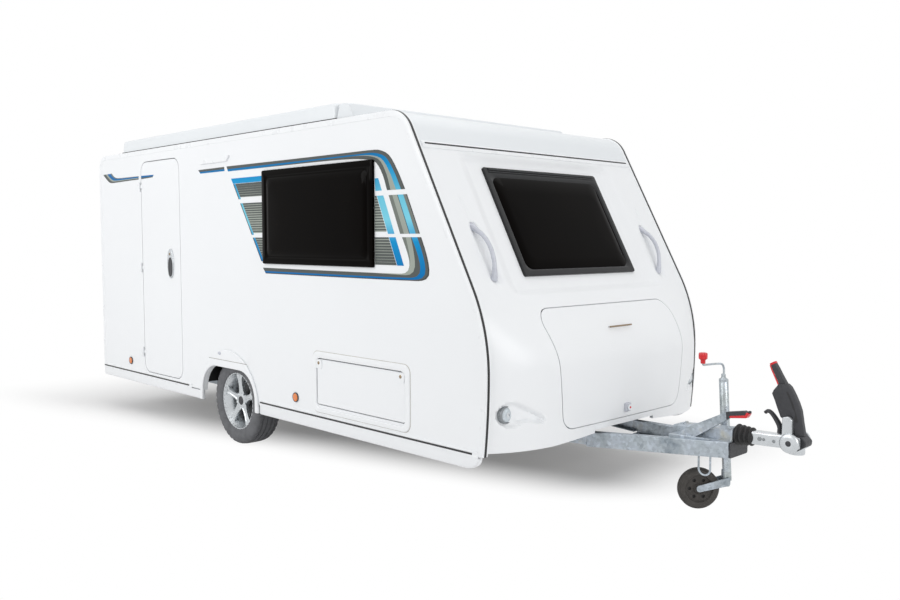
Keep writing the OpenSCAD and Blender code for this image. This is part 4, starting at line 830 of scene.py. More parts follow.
def tyre(side):
    """Tyre with rounded shoulders, four grooves round it and cuts across its shoulders."""
    half = [(0.0, TYRE_R), (0.014, TYRE_R), (0.015, TYRE_R - 0.007), (0.021, TYRE_R - 0.007),
        (0.022, TYRE_R - 0.0002), (0.046, TYRE_R - 0.0008), (0.047, TYRE_R - 0.008),
        (0.053, TYRE_R - 0.008), (0.054, TYRE_R - 0.002), (0.068, TYRE_R - 0.004), (0.078, TYRE_R - 0.009),
        (0.085, TYRE_R - 0.020), (0.0905, TYRE_R - 0.040), (0.0922, TYRE_R - 0.052),
        (0.0905, TYRE_R - 0.066), (0.086, TYRE_R - 0.082), (0.0845, TYRE_R - 0.084),
        (0.0825, TYRE_R - 0.096), (0.075, RIM_R + 0.001), (0.072, RIM_R - 0.006)]
    prof = [(-w, r) for w, r in reversed(half[1:])] + half
    n = 240
    loops = []
    for w, r in prof:
        loop = []
        for j, a in enumerate(turns(n)):
            cut = 0.0
            skew = j + int(round((w + 0.1) * 60))
            if 0.05 < abs(w) < 0.086 and skew % 6 in (0, 1):
                cut = 0.006
            elif 0.02 < abs(w) < 0.047 and skew % 6 == 0 and r > TYRE_R - 0.003:
                cut = 0.003
            loop.append((REAR + WHEEL_X + (r - cut) * cos(a), side * (WHEEL_Y + w),
                TYRE_R + (r - cut) * sin(a)))
        loops.append(loop)
    inner = [[(REAR + WHEEL_X + BORE_R * cos(a), side * (WHEEL_Y + w), TYRE_R + BORE_R * sin(a))
        for a in turns(n)] for w in (0.071, -0.071)]
    return loft(loops + inner + [loops[0]], False, False)


def wheel_place(side):
    """Local Z points out of the wheel."""
    return lambda x, y, z: (REAR + WHEEL_X + x, side * (WHEEL_Y + z), TYRE_R + y)


def spoke(a, place):
    """One crowned spoke, wide at hub and rim, with a hollow along its middle."""
    rows = [(0.040, 0.034, 0.052, 0.018), (0.075, 0.022, 0.056, 0.016), (0.115, 0.019, 0.061, 0.014),
        (0.150, 0.023, 0.066, 0.013), (0.172, 0.033, 0.068, 0.012), (0.184, 0.046, 0.066, 0.012)]
    ca, sa = cos(a), sin(a)
    loops = []
    for r, hw, top, dep in rows:
        sec = [(-hw, top - dep - 0.012), (-hw, top - 0.007), (-hw * 0.82, top - 0.001), (-hw * 0.45, top),
            (-hw * 0.18, top - 0.004), (hw * 0.18, top - 0.004), (hw * 0.45, top), (hw * 0.82, top - 0.001),
            (hw, top - 0.007), (hw, top - dep - 0.012)]
        loops.append([place(r * ca - s * sa, r * sa + s * ca, h) for s, h in sec])
    return loft(loops)


for side, sign in SIGNS:
    body = f"wheel_{side}"
    place = wheel_place(sign)
    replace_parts(make(f"tyre_tread_{side}", *tyre(sign), "tyre", body, crease=32),
        f"tyre_{side}")
    barrel = lathe([(0.183, -0.078), (0.1945, -0.0785), (0.195, -0.073), (0.1865, -0.072), (0.17, -0.045),
        (0.156, -0.035), (0.156, 0.015), (0.17, 0.045), (0.1865, 0.071), (0.195, 0.073), (0.1952, 0.078),
        (0.190, 0.0785), (0.184, 0.070), (0.166, 0.042), (0.150, 0.012), (0.150, -0.032), (0.166, -0.045)],
        96, place)
    spokes = [spoke(pi / 2 + 2 * pi * k / 5, place) for k in range(5)]
    hub = lathe([(0.030, 0.010), (0.052, 0.012), (0.056, 0.045), (0.050, 0.053), (0.036, 0.056),
        (0.030, 0.054)], 60, place)
    ob = make(f"alloy_{side}", *join(barrel, hub, *spokes), "alloy", body, crease=30)
    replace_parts(ob, f"rim_{side}")
    cap = lathe([(0.0005, 0.059), (0.014, 0.0588), (0.024, 0.057), (0.029, 0.054), (0.0305, 0.050),
        (0.0305, 0.035), (0.0005, 0.035)], 40, place)
    make(f"hub_cap_{side}", *cap, "plastic", body)
    bolts = []
    for k in range(5):
        a = pi / 2 + 2 * pi * (k + 0.5) / 5
        ox, oy = 0.049 * cos(a), 0.049 * sin(a)
        bolts.append(hex_bolt(((0.0085, 0.040), (0.0085, 0.054), (0.006, 0.057)),
            lambda u, v, h: place(ox + u, oy + v, h)))
    make(f"wheel_bolts_{side}", *join(*bolts), "chrome", body)
    make(f"brake_drum_{side}", *lathe([(0.02, -0.10), (0.12, -0.10), (0.125, -0.05), (0.12, -0.012),
        (0.04, -0.006), (0.02, -0.006)], 48, place), "plastic")


# Lamps, markers and small fittings

for side, sign in SIGNS:
    c = Vector(on_front(sign * LAMP_Y, LAMP_Z, 0.0))
    lamp_place = lambda x, y, z: (c.x + z, c.y + x, c.z + y)
    glass = dome(0.014, [(0.012, 0.0135), (0.024, 0.011), (0.034, 0.007), (0.0375, 0.002), (0.0375, -0.03)],
        48, lamp_place)
    ob = make(f"lamp_glass_{side}", *glass, "clear", crease=40)
    if side == "right":
        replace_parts(ob, "front_lamps")
    ring = lathe([(0.0365, -0.02), (0.0365, 0.004), (0.039, 0.0075), (0.043, 0.0065), (0.046, 0.001),
        (0.046, -0.02)], 48, lamp_place)
    make(f"lamp_ring_{side}", *ring, "bezel")
    bulb = dome(0.0165, [(0.008, 0.016), (0.013, 0.0145), (0.013, 0.010)], 24, lamp_place)
    make(f"lamp_bullseye_{side}", *bulb, "chrome")

markers, marker_rims = [], []
for place in (on_right, on_left):
    for x in (0.519, 2.841):
        turn = lambda u, v, w, x=x, place=place: place(x + u, 0.436 + v, w)
        markers.append(dome(0.0112, [(0.010, 0.0108), (0.02, 0.0095), (0.026, 0.006), (0.026, 0.0005)], 36,
            turn))
        marker_rims.append(lathe([(0.0255, 0.0005), (0.0255, 0.0075), (0.0275, 0.0085), (0.030, 0.006),
            (0.030, 0.0005)], 36, turn))
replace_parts(make("marker_lenses", *join(*markers), "amber"), "side_markers")
make("marker_rims", *join(*marker_rims), "plastic")

# Grab handles with flared feet
bars = []
for sign in (-1, 1):
    ts = np.linspace(0, 1, 25)
    line = [on_front(sign * (0.754 + 0.014 * t), 1.204 + 0.272 * t, -0.002 + 0.064 * sin(pi * t) ** 0.75)
        for t in ts]
    bars.append(tube(line, [0.0115 + 0.0095 * abs(2 * t - 1) ** 6 for t in ts], 16))
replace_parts(make("handle_bars", *join(*bars), "handle", crease=50), "grab_handles")

# Door furniture
GRIP_X, GRIP_Z = 1.236, 1.23


def oval(cx, cz, a, b):
    n, power = 32, 2.2
    return [(cx + a * math.copysign(abs(cos(t)) ** (2 / power), cos(t)),
        cz + b * math.copysign(abs(sin(t)) ** (2 / power), sin(t))) for t in turns(n)]


plate = loft([[on_right(u, v, h) for u, v in oval(GRIP_X, GRIP_Z, 0.047 - d, 0.110 - d)]
    for d, h in ((0, 0.0003), (0, 0.005), (0.002, 0.008), (0.006, 0.0095), (0.02, 0.0105))])
ob = make("grip_plate", *plate, "alloy", "door")
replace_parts(ob, "door_handle")
lever = loft([[on_right(u, v, h)
    for u, v in oval(GRIP_X + 0.006, GRIP_Z - 0.026, 0.032 - d, 0.072 - d * 1.4)]
    for d, h in ((0, 0.0085), (0.001, 0.0125), (0.006, 0.0138), (0.016, 0.0125), (0.024, 0.0115))])
make("grip_lever", *lever, "plastic", "door")
make("grip_lock", *dome(0.0135, [(0.007, 0.0135), (0.009, 0.0125), (0.009, 0.009)], 20,
    lambda u, v, w: on_right(GRIP_X + u, GRIP_Z + 0.07 + v, w)), "brown", "door")

# Service flap: moulded frame with a line round it, tabs and two turn locks
fx0, fx1, fz0, fz1 = 3.070, 3.858, 0.428, 0.698
frame_rect = (fx0 - 0.046, fx1 + 0.046, fz0 - 0.050, fz1 + 0.046)
steps = [(0, 0.0003, 0.05), (0.0005, 0.004, 0.05), (0.004, 0.0075, 0.048), (0.012, 0.0088, 0.045),
    (0.032, 0.0088, 0.036), (0.0385, 0.006, 0.032), (0.040, 0.0003, 0.031)]
rings = [[on_right(u, v, h) for u, v in soft_rect(frame_rect[0] + d, frame_rect[1] - d,
    frame_rect[2] + min(d, 0.012 + (d - 0.012) * 0.6), frame_rect[3] - d, r, 8)] for d, h, r in steps]
ob = make("flap_moulding", *loft(rings + [rings[0]], False, False), "white", crease=28)
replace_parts(ob, "flap_frame")
ring = [[on_right(u, v, h) for u, v in inset(frame_rect, e, 0.05, 8)]
        for e, h in ((-0.0025, 0.0002), (-0.0025, 0.0012), (0.0015, 0.0012), (0.0015, 0.0002))]
make("flap_edge_line", *loft(ring + [ring[0]], False, False), "line")
locks, tabs = [], []
for x in (fx0 + 0.018, fx1 - 0.028):
    tab = [[on_right(u, v, h) for u, v in soft_rect(x - 0.030, x + 0.030, fz1 - 0.055, fz1 - 0.002,
        0.014 - d, 5)] for d, h in ((0, 0.0003), (0, 0.0038), (0.002, 0.005))]
    tabs.append(loft(tab))
    locks.append(dome(0.0085, [(0.006, 0.0085), (0.0095, 0.0065), (0.0095, 0.004)], 20,
        lambda u, v, w, x=x: on_right(x + u, 0.675 + v, w)))
make("flap_tabs", *join(*tabs), "white", "flap")
make("flap_locks", *join(*locks), "brown", "flap")

# Wheel arch details
for side, place in SIDES:
    make(f"arch_seam_{side}", *prism(soft_rect(1.800, 2.300, 0.5835, 0.5865, 0.001, 2), 0.0158, 0.0166,
        place), "gap")
    make(f"arch_knob_{side}", *dome(0.0215, [(0.012, 0.021), (0.018, 0.019), (0.019, 0.0155)], 28,
        lambda u, v, w, place=place: place(1.947 + u, 0.628 + v * 0.6, w)), "handle")

# Locker lid fittings: brown bar handle and lock block
make("lid_bar", *tube([on_front(y, 0.932, 0.016) for y in np.linspace(-0.1, 0.1, 9)], 0.0046), "brown",
    "gas_lid")
lock_block = nested((-0.024, 0.024, -0.024, 0.024),
    [(0, 0.001, 0.006), (0, 0.012, 0.006), (0.002, 0.015, 0.006), (0.01, 0.0165, 0.006)],
    lambda u, v, w: on_front(u, 0.49 + v, w))
make("lid_lock_block", *lock_block, "handle", "gas_lid")
make("lid_lock_dot", *dome(0.0245, [(0.005, 0.0245), (0.006, 0.0235), (0.006, 0.016)], 16,
    lambda u, v, w: on_front(0.006 + u, 0.49 + v, w)), "red", "gas_lid")


# Hitch: lever, disc covers, handle and bellows, placed from the middle of the disc covers
DISC_X, DISC_Z = 5.555, 0.454


def at_disc(u, v, w):
    """u ahead of the discs, v above them, w to the right."""
    return REAR + DISC_X + u, -w, DISC_Z + v


# Rows up the lever: height, its rear edge, the crease on its face, its front edge
LEVER_ROWS = [(0.034, -0.012, 0.008, 0.048), (0.060, -0.022, 0.004, 0.045), (0.096, -0.045, -0.001, 0.038),
    (0.110, -0.067, -0.003, 0.036), (0.150, -0.084, -0.014, 0.029), (0.185, -0.097, -0.026, 0.016),
    (0.218, -0.112, -0.042, 0.000), (0.236, -0.104, -0.052, -0.010), (0.256, -0.088, -0.060, -0.022),
    (0.270, -0.079, -0.062, -0.038)]


def lever_row(z, rear, crease, front):
    half = [(rear, 0.016), (rear + 0.004, 0.022), (crease, 0.031), (crease + 0.004, 0.031),
        (front - 0.010, 0.020), (front, 0.012)]
    return [at_disc(u, z, w) for u, w in half] + [at_disc(u, z, -w) for u, w in reversed(half)]


body_rows = [lever_row(*r) for r in LEVER_ROWS]
ob = make("lever_body", *loft(body_rows), "plastic", crease=22, bevel=0.0012)
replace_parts(ob, "stabiliser_lever")
inlay = []
for sign in (1, -1):
    strip = [[at_disc(c + a, z, sign * (0.0285 - 0.35 * a + dw))
        for a, dw in ((0.010, 0.0), (0.022, 0.0), (0.022, 0.0035), (0.010, 0.0035))]
        for z, _, c, _ in LEVER_ROWS[2:8]]
    inlay.append(loft(strip))
make("lever_inlay", *join(*inlay), "black", crease=22)
grip_path = [(-0.061, 0.262), (-0.082, 0.300), (-0.101, 0.335), (-0.114, 0.359)]
grip_dir = Vector((-0.485, 0.875))
grip_side = Vector((0.875, 0.485))


def on_grip(u, v, a, w):
    """Point across the grip: a ahead of its middle line, w to the side."""
    return at_disc(u + a * grip_side.x, v + a * grip_side.y, w)


def grip_section(hw):
    return soft_rect(-hw, hw, -0.015, 0.015, 0.005, 3)


def grip_edge(hw):
    return soft_rect(-hw - 0.004, -hw + 0.004, -0.0158, 0.0158, 0.003, 3)


for name, mat, section in (("lever_grip", "plastic", grip_section), ("lever_grip_red", "red", grip_edge)):
    rows = [[on_grip(u, v, a, w) for a, w in section(hw)]
        for (u, v), hw in zip(grip_path, (0.019, 0.0165, 0.0155, 0.013))]
    make(name, *loft(rows), mat, crease=30)
top = soft_rect(-0.014, 0.014, -0.0158, 0.0158, 0.005, 3)
make("lever_grip_cap", *loft([[at_disc(-0.114 + a * grip_side.x + h * grip_dir.x,
    0.359 + a * grip_side.y + h * grip_dir.y, w * k) for a, w in top]
    for h, k in ((-0.002, 1.0), (0.004, 1.0), (0.008, 0.8))]), "red", crease=30)

discs, studs, struts = [], [], []
for sign in (1, -1):
    turn = lambda x, y, z, sign=sign: at_disc(x, y, sign * z)
    discs.append(lathe([(0.0135, 0.0745), (0.026, 0.0755), (0.040, 0.0735), (0.046, 0.069), (0.0475, 0.063),
        (0.0465, 0.056), (0.040, 0.054), (0.0135, 0.054)], 56, turn))
    studs.append(dome(0.0775, [(0.008, 0.0775), (0.0115, 0.0755), (0.013, 0.072), (0.013, 0.056)], 28,
        turn))
    outline = rounded([(-0.038, 0.118), (-0.008, 0.126), (0.008, 0.110), (0.010, 0.034), (-0.040, 0.030)],
        [0.006, 0.012, 0.008, 0.004, 0.004], 4)
    struts.append(prism(outline, 0.040, 0.062, turn))
make("disc_covers", *join(*discs), "alloy", crease=40)
make("disc_studs", *join(*studs), "plastic", crease=40)
make("lever_struts", *join(*struts), "alloy", bevel=0.004)
handle_path = smooth([(-0.074, 0.030), (-0.075, 0.058), (-0.096, 0.094), (-0.120, 0.121), (-0.136, 0.128),
    (-0.150, 0.118)], 20)
handle_r = [0.013 - 0.0045 * (i / 19) for i in range(20)]
ob = make("release_handle", *moved(tube([(u, 0, v) for u, v in handle_path], handle_r, 16),
    lambda x, y, z: at_disc(x, z, -y * 1.5)), "plastic", crease=40)
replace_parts(ob, "coupling_handle")
nose = rounded([(0.006, 0.036), (0.042, 0.034), (0.068, 0.012), (0.066, -0.012), (0.024, -0.040),
    (0.004, -0.036)], [0.004, 0.014, 0.016, 0.014, 0.012, 0.004], 6)
make("nose_cap", *prism(nose, -0.036, 0.036, at_disc), "plastic", bevel=0.010, segments=4)
FOLDS, BELLOWS_X0, BELLOWS_X1, BELLOWS_Z = 4, 5.258, 5.354, 0.442
rows = 64
bellows = []
for i in range(rows + 1):
    t = i / rows
    r = 0.0545 - 0.010 * t - 0.010 * (0.5 + 0.5 * cos(2 * pi * FOLDS * t)) ** 1.4
    bellows.append((r, BELLOWS_X0 + t * (BELLOWS_X1 - BELLOWS_X0)))
bellows += [(0.028, BELLOWS_X1 + 0.006), (0.028, BELLOWS_X0)]
ob = make("bellows_folds", *lathe(bellows, 56, lambda x, y, z: (REAR + z, x, BELLOWS_Z + y)), "rubber",
    crease=60)
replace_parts(ob, "bellows")

# Coupling: forged bar out of the bellows, widening to the head over the ball's cup
BAR_ROWS = [(5.33, 0.027, 0.442, 0.030), (5.372, 0.029, 0.443, 0.033), (5.44, 0.030, 0.445, 0.032),
    (5.50, 0.035, 0.450, 0.033), (5.55, 0.040, 0.454, 0.034), (5.592, 0.038, 0.454, 0.030),
    (5.612, 0.026, 0.453, 0.020)]
bar_loops = [[(REAR + x, y, z + v) for y, v in soft_rect(-hw, hw, -hh, hh, 0.009, 4)]
    for x, hw, z, hh in BAR_ROWS]
cup = lathe([(0.0252, -0.058), (0.036, -0.058), (0.038, -0.050), (0.038, -0.018), (0.0252, -0.018)], 40,
    lambda x, y, z: (REAR + 5.564 + x, y, DISC_Z + z))
ob = make("coupling_bar", *join(loft(bar_loops), cup), "alloy", crease=35)
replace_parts(ob, "coupling_head")
marks = []
for side in (-1, 1):
    for x, r_ in ((5.392, 0.010), (5.413, 0.007), (5.466, 0.009)):
        marks.append(dome(0.034, [(r_ * 0.8, 0.034), (r_, 0.032), (r_, 0.024)], 20,
            lambda u, v, w, x=x, side=side: (REAR + x + u, side * w, 0.444 + v)))
make("coupling_bolts", *join(*marks), "bezel", crease=30)

# Jockey wheel's web, seen through its holes: swivel axis, the wheel's trail behind it and its radius
JX, JY, TRAIL, CASTOR_R = 5.115, 0.164, 0.143, 0.108
YAW = radians(225.8)
ca, sa = cos(YAW), sin(YAW)


def at_castor(x, y, z):
    return REAR + JX + (TRAIL + x) * ca + z * sa, JY + (TRAIL + x) * sa - z * ca, CASTOR_R + y


web = [(0.034, -0.004), (0.062, -0.004), (0.064, -0.002), (0.064, 0.002), (0.062, 0.004), (0.034, 0.004),
    (0.032, 0.002), (0.032, -0.002)]
make("jockey_wheel_web", *lathe(web, 48, at_castor), "rubber", body="castor_wheel")

# Drawbar, overrun housing and handbrake
make("drawbar_end", *prism(soft_rect(-0.09, 0.09, 0.334, 0.412, 0.012, 4), 5.2655, 5.272,
    lambda u, v, w: (REAR + w, u, v)), "plastic", bevel=0.002)
BRAKE_X, BRAKE_Y, BRAKE_Z = 4.968, 0.077, 0.413


def at_brake(u, v, w):
    return REAR + BRAKE_X + u, -BRAKE_Y - w, BRAKE_Z + v


MEMBER_X, MEMBER_L = 4.515, 0.75


def channel(x, side):
    """Section of a drawbar member, open towards the middle."""
    t = (x - MEMBER_X) / MEMBER_L
    y, z0, z1 = 0.2415 - 0.1455 * t, 0.292 + 0.044 * t, 0.372 + 0.044 * t
    outline = [(0, 0.003), (0.003, 0), (0.045, 0), (0.045, 0.005), (0.005, 0.005)]
    half = [(y - a, z0 + b) for a, b in outline], [(y - a, z1 - b) for a, b in reversed(outline)]
    return [(REAR + x, side * v, z) for v, z in half[0] + half[1]]


members = [loft([channel(x, side) for x in (MEMBER_X, 4.7, 4.9, 5.1, 5.265)]) for side in (-1, 1)]
ob = make("drawbar_members", *join(*members), "zinc", crease=30)
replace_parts(ob, "drawbar")
HOUSING = [(4.925, 0.446, 0.046), (4.935, 0.4505, 0.046), (5.06, 0.459, 0.046), (5.18, 0.467, 0.047),
    (5.245, 0.471, 0.05), (5.262, 0.478, 0.052)]
rows = [[(REAR + x, hw * a, z + b)
    for a, b in ((-1, -0.07), (-1, -0.008), (-0.84, 0), (0.84, 0), (1, -0.008), (1, -0.07))]
    for x, z, hw in HOUSING]
deck = [[(REAR + x, k * w, z) for k, z in ((-1, 0.385), (-1, 0.412), (-0.96, 0.415), (0.96, 0.415),
    (1, 0.412), (1, 0.385))] for x, w in ((4.95, 0.125), (5.264, 0.062))]
ob = make("housing_channel", *join(loft(rows), loft(deck)), "zinc", crease=25)
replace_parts(ob, "overrun_housing")
arm = rounded([(0.0, 0.0), (0.112, 0.0), (0.282, 0.112), (0.278, 0.150), (0.085, 0.052)],
    [0.001, 0.001, 0.002, 0.004, 0.02], 5)
rows = [[at_brake(u, v, w) for u, v in arm] for w in (-0.015, 0.015)]
ob = make("brake_arm", *loft(rows), "zinc", crease=30, bevel=0.003)
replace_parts(ob, "handbrake_lever")
grip = rounded([(0.277, 0.150), (0.281, 0.112), (0.300, 0.126), (0.384, 0.138), (0.396, 0.156),
    (0.372, 0.168)], [0.001, 0.001, 0.004, 0.008, 0.006, 0.008], 4)
ob = make("brake_grip", *loft([[at_brake(u, v, w) for u, v in grip] for w in (-0.0145, 0.0145)]), "plastic",
    crease=30, bevel=0.004)
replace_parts(ob, "handbrake_grip")
make("brake_grip_red", *prism(rounded([(0.298, 0.123), (0.385, 0.135), (0.399, 0.157), (0.386, 0.163),
    (0.378, 0.148), (0.298, 0.134)], 0.003, 3), -0.0165, 0.0165, at_brake), "red", bevel=0.002)
make("brake_button", *tube([at_brake(0.384, 0.158, 0), at_brake(0.396, 0.164, 0),
    at_brake(0.402, 0.167, 0)], [0.0075, 0.0075, 0.005], 16), "plastic")

bolts = []
for x, y, z, r in ((4.965, -0.022, 0.451, 0.011), (4.965, 0.022, 0.451, 0.011),
        (5.035, -0.09, 0.414, 0.010), (5.125, 0.085, 0.414, 0.010)):
    bolts.append(hex_bolt(((r, 0.0), (r, 0.007), (r * 0.8, 0.009)),
        lambda u, v, h: (REAR + x + u, y + v, z + h)))
make("housing_bolts", *join(*bolts), "zinc_bright", crease=30)

# Jockey wheel: leaning tube with its square leg, crank, socket and fluted knob
J_TOP = 0.680


def on_jockey(x, y, z):
    """The tube leans back a little from its clamp upwards."""
    return REAR + JX + x - 0.06 * (J_TOP + z - 0.30), JY + y, J_TOP + z


column = lathe([(0.0225, 0.0), (0.024, -0.003), (0.024, -0.36), (0.021, -0.36), (0.021, -0.004)], 40,
    on_jockey)
cap = lathe([(0.005, -0.014), (0.0215, -0.014), (0.0215, -0.003), (0.005, -0.001)], 40, on_jockey)
leg = loft([[on_jockey(u * ca - v * sa, u * sa + v * ca, h)
    for u, v in soft_rect(-0.019, 0.019, -0.019, 0.019, 0.004, 3)] for h in (-0.527, -0.42, -0.34)])
ob = make("jockey_column", *join(column, cap, leg), "zinc_bright", crease=40)
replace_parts(ob, "jockey_tube")
crank = smooth([(5.0926, 0.164, 0.667), (5.0922, 0.164, 0.69), (5.0922, 0.164, 0.735),
    (5.0905, 0.156, 0.7555), (5.086, 0.135, 0.764), (5.062, 0.03, 0.7665), (5.0589, 0.0139, 0.767),
    (5.0589, 0.0099, 0.775)], 40)
ob = make("crank_bar", *tube([(REAR + x, y, z) for x, y, z in crank], 0.0055, 12), "zinc_bright", crease=50)
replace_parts(ob, "jockey_crank")
make("crank_socket", *dome(0.030,
    [(0.008, 0.030), (0.0115, 0.027), (0.0115, 0.012), (0.014, 0.008), (0.020, 0.004), (0.0245, 0.000),
    (0.0245, -0.012)], 36, on_jockey), "zinc_bright", crease=30)
KNOB = (5.0589, 0.0099, 0.774)
knob_rows = []
for r, h, lobes in ((0.010, 0.0, 0.0), (0.0125, 0.002, 0.0), (0.0125, 0.017, 0.0), (0.015, 0.020, 0.0),
        (0.0215, 0.025, 0.3), (0.0225, 0.030, 1.0), (0.0225, 0.050, 1.0), (0.0205, 0.0555, 0.6),
        (0.012, 0.0578, 0.0)):
    knob_rows.append([(REAR + KNOB[0] + k * cos(a), KNOB[1] + k * sin(a), KNOB[2] + h)
                      for a in turns(64) for k in (r - lobes * 0.0016 * (0.5 + 0.5 * cos(8 * a)) ** 3,)])
ob = make("knob_fluted", *loft(knob_rows), "red", crease=40)
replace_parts(ob, "crank_knob")


# Lifting roof with upright sides, and the short deflector ahead of it
TOP_Z, TOP_H = ROOF_Z + 0.012, 0.092
lid_rect = (0.415, 3.248, -0.952, 0.952)


def lid_loop(d, h, r):
    return [(REAR + u, v, TOP_Z + h) for u, v in inset(lid_rect, d, r, 6)]


shell = [lid_loop(*row) for row in ((0.30, TOP_H - 0.016, 0.03), (0.02, TOP_H - 0.018, 0.012),
    (0.014, 0.0, 0.01), (0.0, 0.0, 0.022), (0.004, TOP_H - 0.026, 0.022), (0.0065, TOP_H - 0.016, 0.022),
    (0.013, TOP_H - 0.007, 0.024), (0.024, TOP_H - 0.002, 0.03), (0.3, TOP_H, 0.06))]
ob = make("lifting_roof_shell", *loft(shell), "roof", "roof_lid", crease=40)
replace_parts(ob, "lifting_roof")
wedge = rounded([(3.262, 0.0), (3.414, 0.0), (3.374, 0.086), (3.292, 0.094)], [0.004, 0.004, 0.012, 0.022],
    6)
loops = [[(REAR + u, y, ROOF_Z + v * k) for u, v in wedge]
    for y, k in ((-0.953, 0.93), (-0.945, 0.985), (-0.93, 1), (0, 1), (0.93, 1), (0.945, 0.985),
    (0.953, 0.93))]
ob = make("roof_wedge", *loft(loops), "roof", crease=35)
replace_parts(ob, "roof_deflector")


# Roof canvas in soft folds
cx0, cx1, chw = 0.537, 3.138, 0.756
CANVAS_H = 0.068
rows = 29
loops = []
for k in range(rows):
    t = k / (rows - 1)
    d = 0.008 * sin(t * pi * 7) - 0.006
    loops.append([(REAR + u, v, ROOF_Z + 0.001 + t * CANVAS_H)
        for u, v in dense(soft_rect(cx0 - d, cx1 + d, -chw - d, chw + d, 0.04, 6), 0.12)])
inner = [[(p[0] + (0.003 if p[0] < REAR + 1.7 else -0.003), p[1] * 0.995, p[2]) for p in l]
    for l in reversed(loops)]
canvas = loft(loops + inner + [loops[0]], False, False)
me = bpy.data.meshes.new("canvas_folds")
me.from_pydata([tuple(v) for v in canvas[0]], [], canvas[1])
for p in me.polygons:
    p.use_smooth = True
canvas_ob = put("canvas_folds", me)
me.materials.append(M["canvas"])
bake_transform(canvas_ob)
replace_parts(canvas_ob, "roof_canvas")
around = sum(math.dist(p, q) for p, q in zip(loops[0], loops[0][1:] + loops[0][:1]))


# CAD nodes that stay: welded, softly bevelled, shaded smooth, with their materials

def shading_group():
    g = bpy.data.node_groups.new("weld_and_shade", "GeometryNodeTree")
    g.interface.new_socket("Geometry", in_out="INPUT", socket_type="NodeSocketGeometry")
    g.interface.new_socket("Geometry", in_out="OUTPUT", socket_type="NodeSocketGeometry")
    add = g.nodes.new
    src, dst = add("NodeGroupInput"), add("NodeGroupOutput")
    drop = add("GeometryNodeRemoveAttribute")
    drop.inputs["Name"].default_value = "custom_normal"
    weld = add("GeometryNodeMergeByDistance")
    weld.inputs["Distance"].default_value = 1e-5
    soft = add("GeometryNodeSetShadeSmooth")
    hard = add("GeometryNodeSetShadeSmooth")
    hard.domain = "EDGE"
    hard.inputs["Shade Smooth"].default_value = False
    angle = add("GeometryNodeInputMeshEdgeAngle")
    cmp = add("FunctionNodeCompare")
    cmp.operation = "GREATER_THAN"
    cmp.inputs[1].default_value = radians(32)
    link = g.links.new
    link(src.outputs[0], drop.inputs["Geometry"])
    link(drop.outputs[0], weld.inputs["Geometry"])
    link(weld.outputs[0], soft.inputs["Geometry"])
    link(soft.outputs[0], hard.inputs["Geometry"])
    link(angle.outputs["Unsigned Angle"], cmp.inputs[0])
    link(cmp.outputs[0], hard.inputs["Selection"])
    link(hard.outputs[0], dst.inputs[0])
    return g


weld_and_shade = shading_group()
LOOKS = {
    "white": "side_wall_right side_wall_left rear_panel entrance_door service_flap skirt_right skirt_left "
             "wheel_arch_right wheel_arch_left front_panel locker_lid flap_frame",
    "roof": "roof_panel roof_deflector lifting_roof",
    "rubber": "roof_seal bellows wheel_box_right wheel_box_left",
    "pane": "side_window_right side_window_left front_window rear_window",
    "plastic": "stabiliser_lever coupling_handle handbrake_grip door_handle",
    "alloy": "coupling_head rim_right rim_left",
    "chrome": "locker_lock",
    "handle": "grab_handles",
    "clear": "front_lamps", "ruby": "rear_lamps", "amber": "side_markers", "red": "crank_knob",
    "canvas": "roof_canvas",
    "wood": "floor_panel", "tyre": "tyre_right tyre_left", "castor": "jockey_wheel",
    "rail": "awning_lamp door_hinges",
    "zinc_bright": "jockey_tube jockey_crank",
    "zinc": "chassis_rails cross_members drawbar axle overrun_housing handbrake_lever cable_guide "
            "jockey_clamp jockey_fork steady_brackets steady_rear_right steady_rear_left "
            "steady_front_right steady_front_left",
}
BEVELS = {"lifting_roof": 0.012, "roof_deflector": 0.014, "wheel_arch_right": 0.006,
    "wheel_arch_left": 0.006, "entrance_door": 0.0015, "service_flap": 0.002, "skirt_right": 0.004,
    "skirt_left": 0.004, "overrun_housing": 0.003, "handbrake_lever": 0.003, "handbrake_grip": 0.004,
    "coupling_handle": 0.004, "stabiliser_lever": 0.004, "rear_lamps": 0.006, "awning_lamp": 0.002,
    "drawbar": 0.0015, "chassis_rails": 0.0015, "jockey_fork": 0.0015}
for look, names in LOOKS.items():
    for name in names.split():
        ob = nodes[name]
        ob.data.materials.clear()
        ob.data.materials.append(M[look])
        g = ob.modifiers.new("weld", "NODES")
        g.node_group = weld_and_shade
        if name in BEVELS:
            soften(ob, BEVELS[name], 3, 32)


# Stage, light and camera

def seen_rays(tree):
    """1 for rays from the camera, off gloss and through glass, which see plain white."""
    path = tree.nodes.new("ShaderNodeLightPath")
    seen = path.outputs["Is Camera Ray"]
    for ray in ("Is Glossy Ray", "Is Transmission Ray"):
        either = tree.nodes.new("ShaderNodeMath")
        either.operation = "MAXIMUM"
        tree.links.new(seen, either.inputs[0])
        tree.links.new(path.outputs[ray], either.inputs[1])
        seen = either.outputs[0]
    return seen


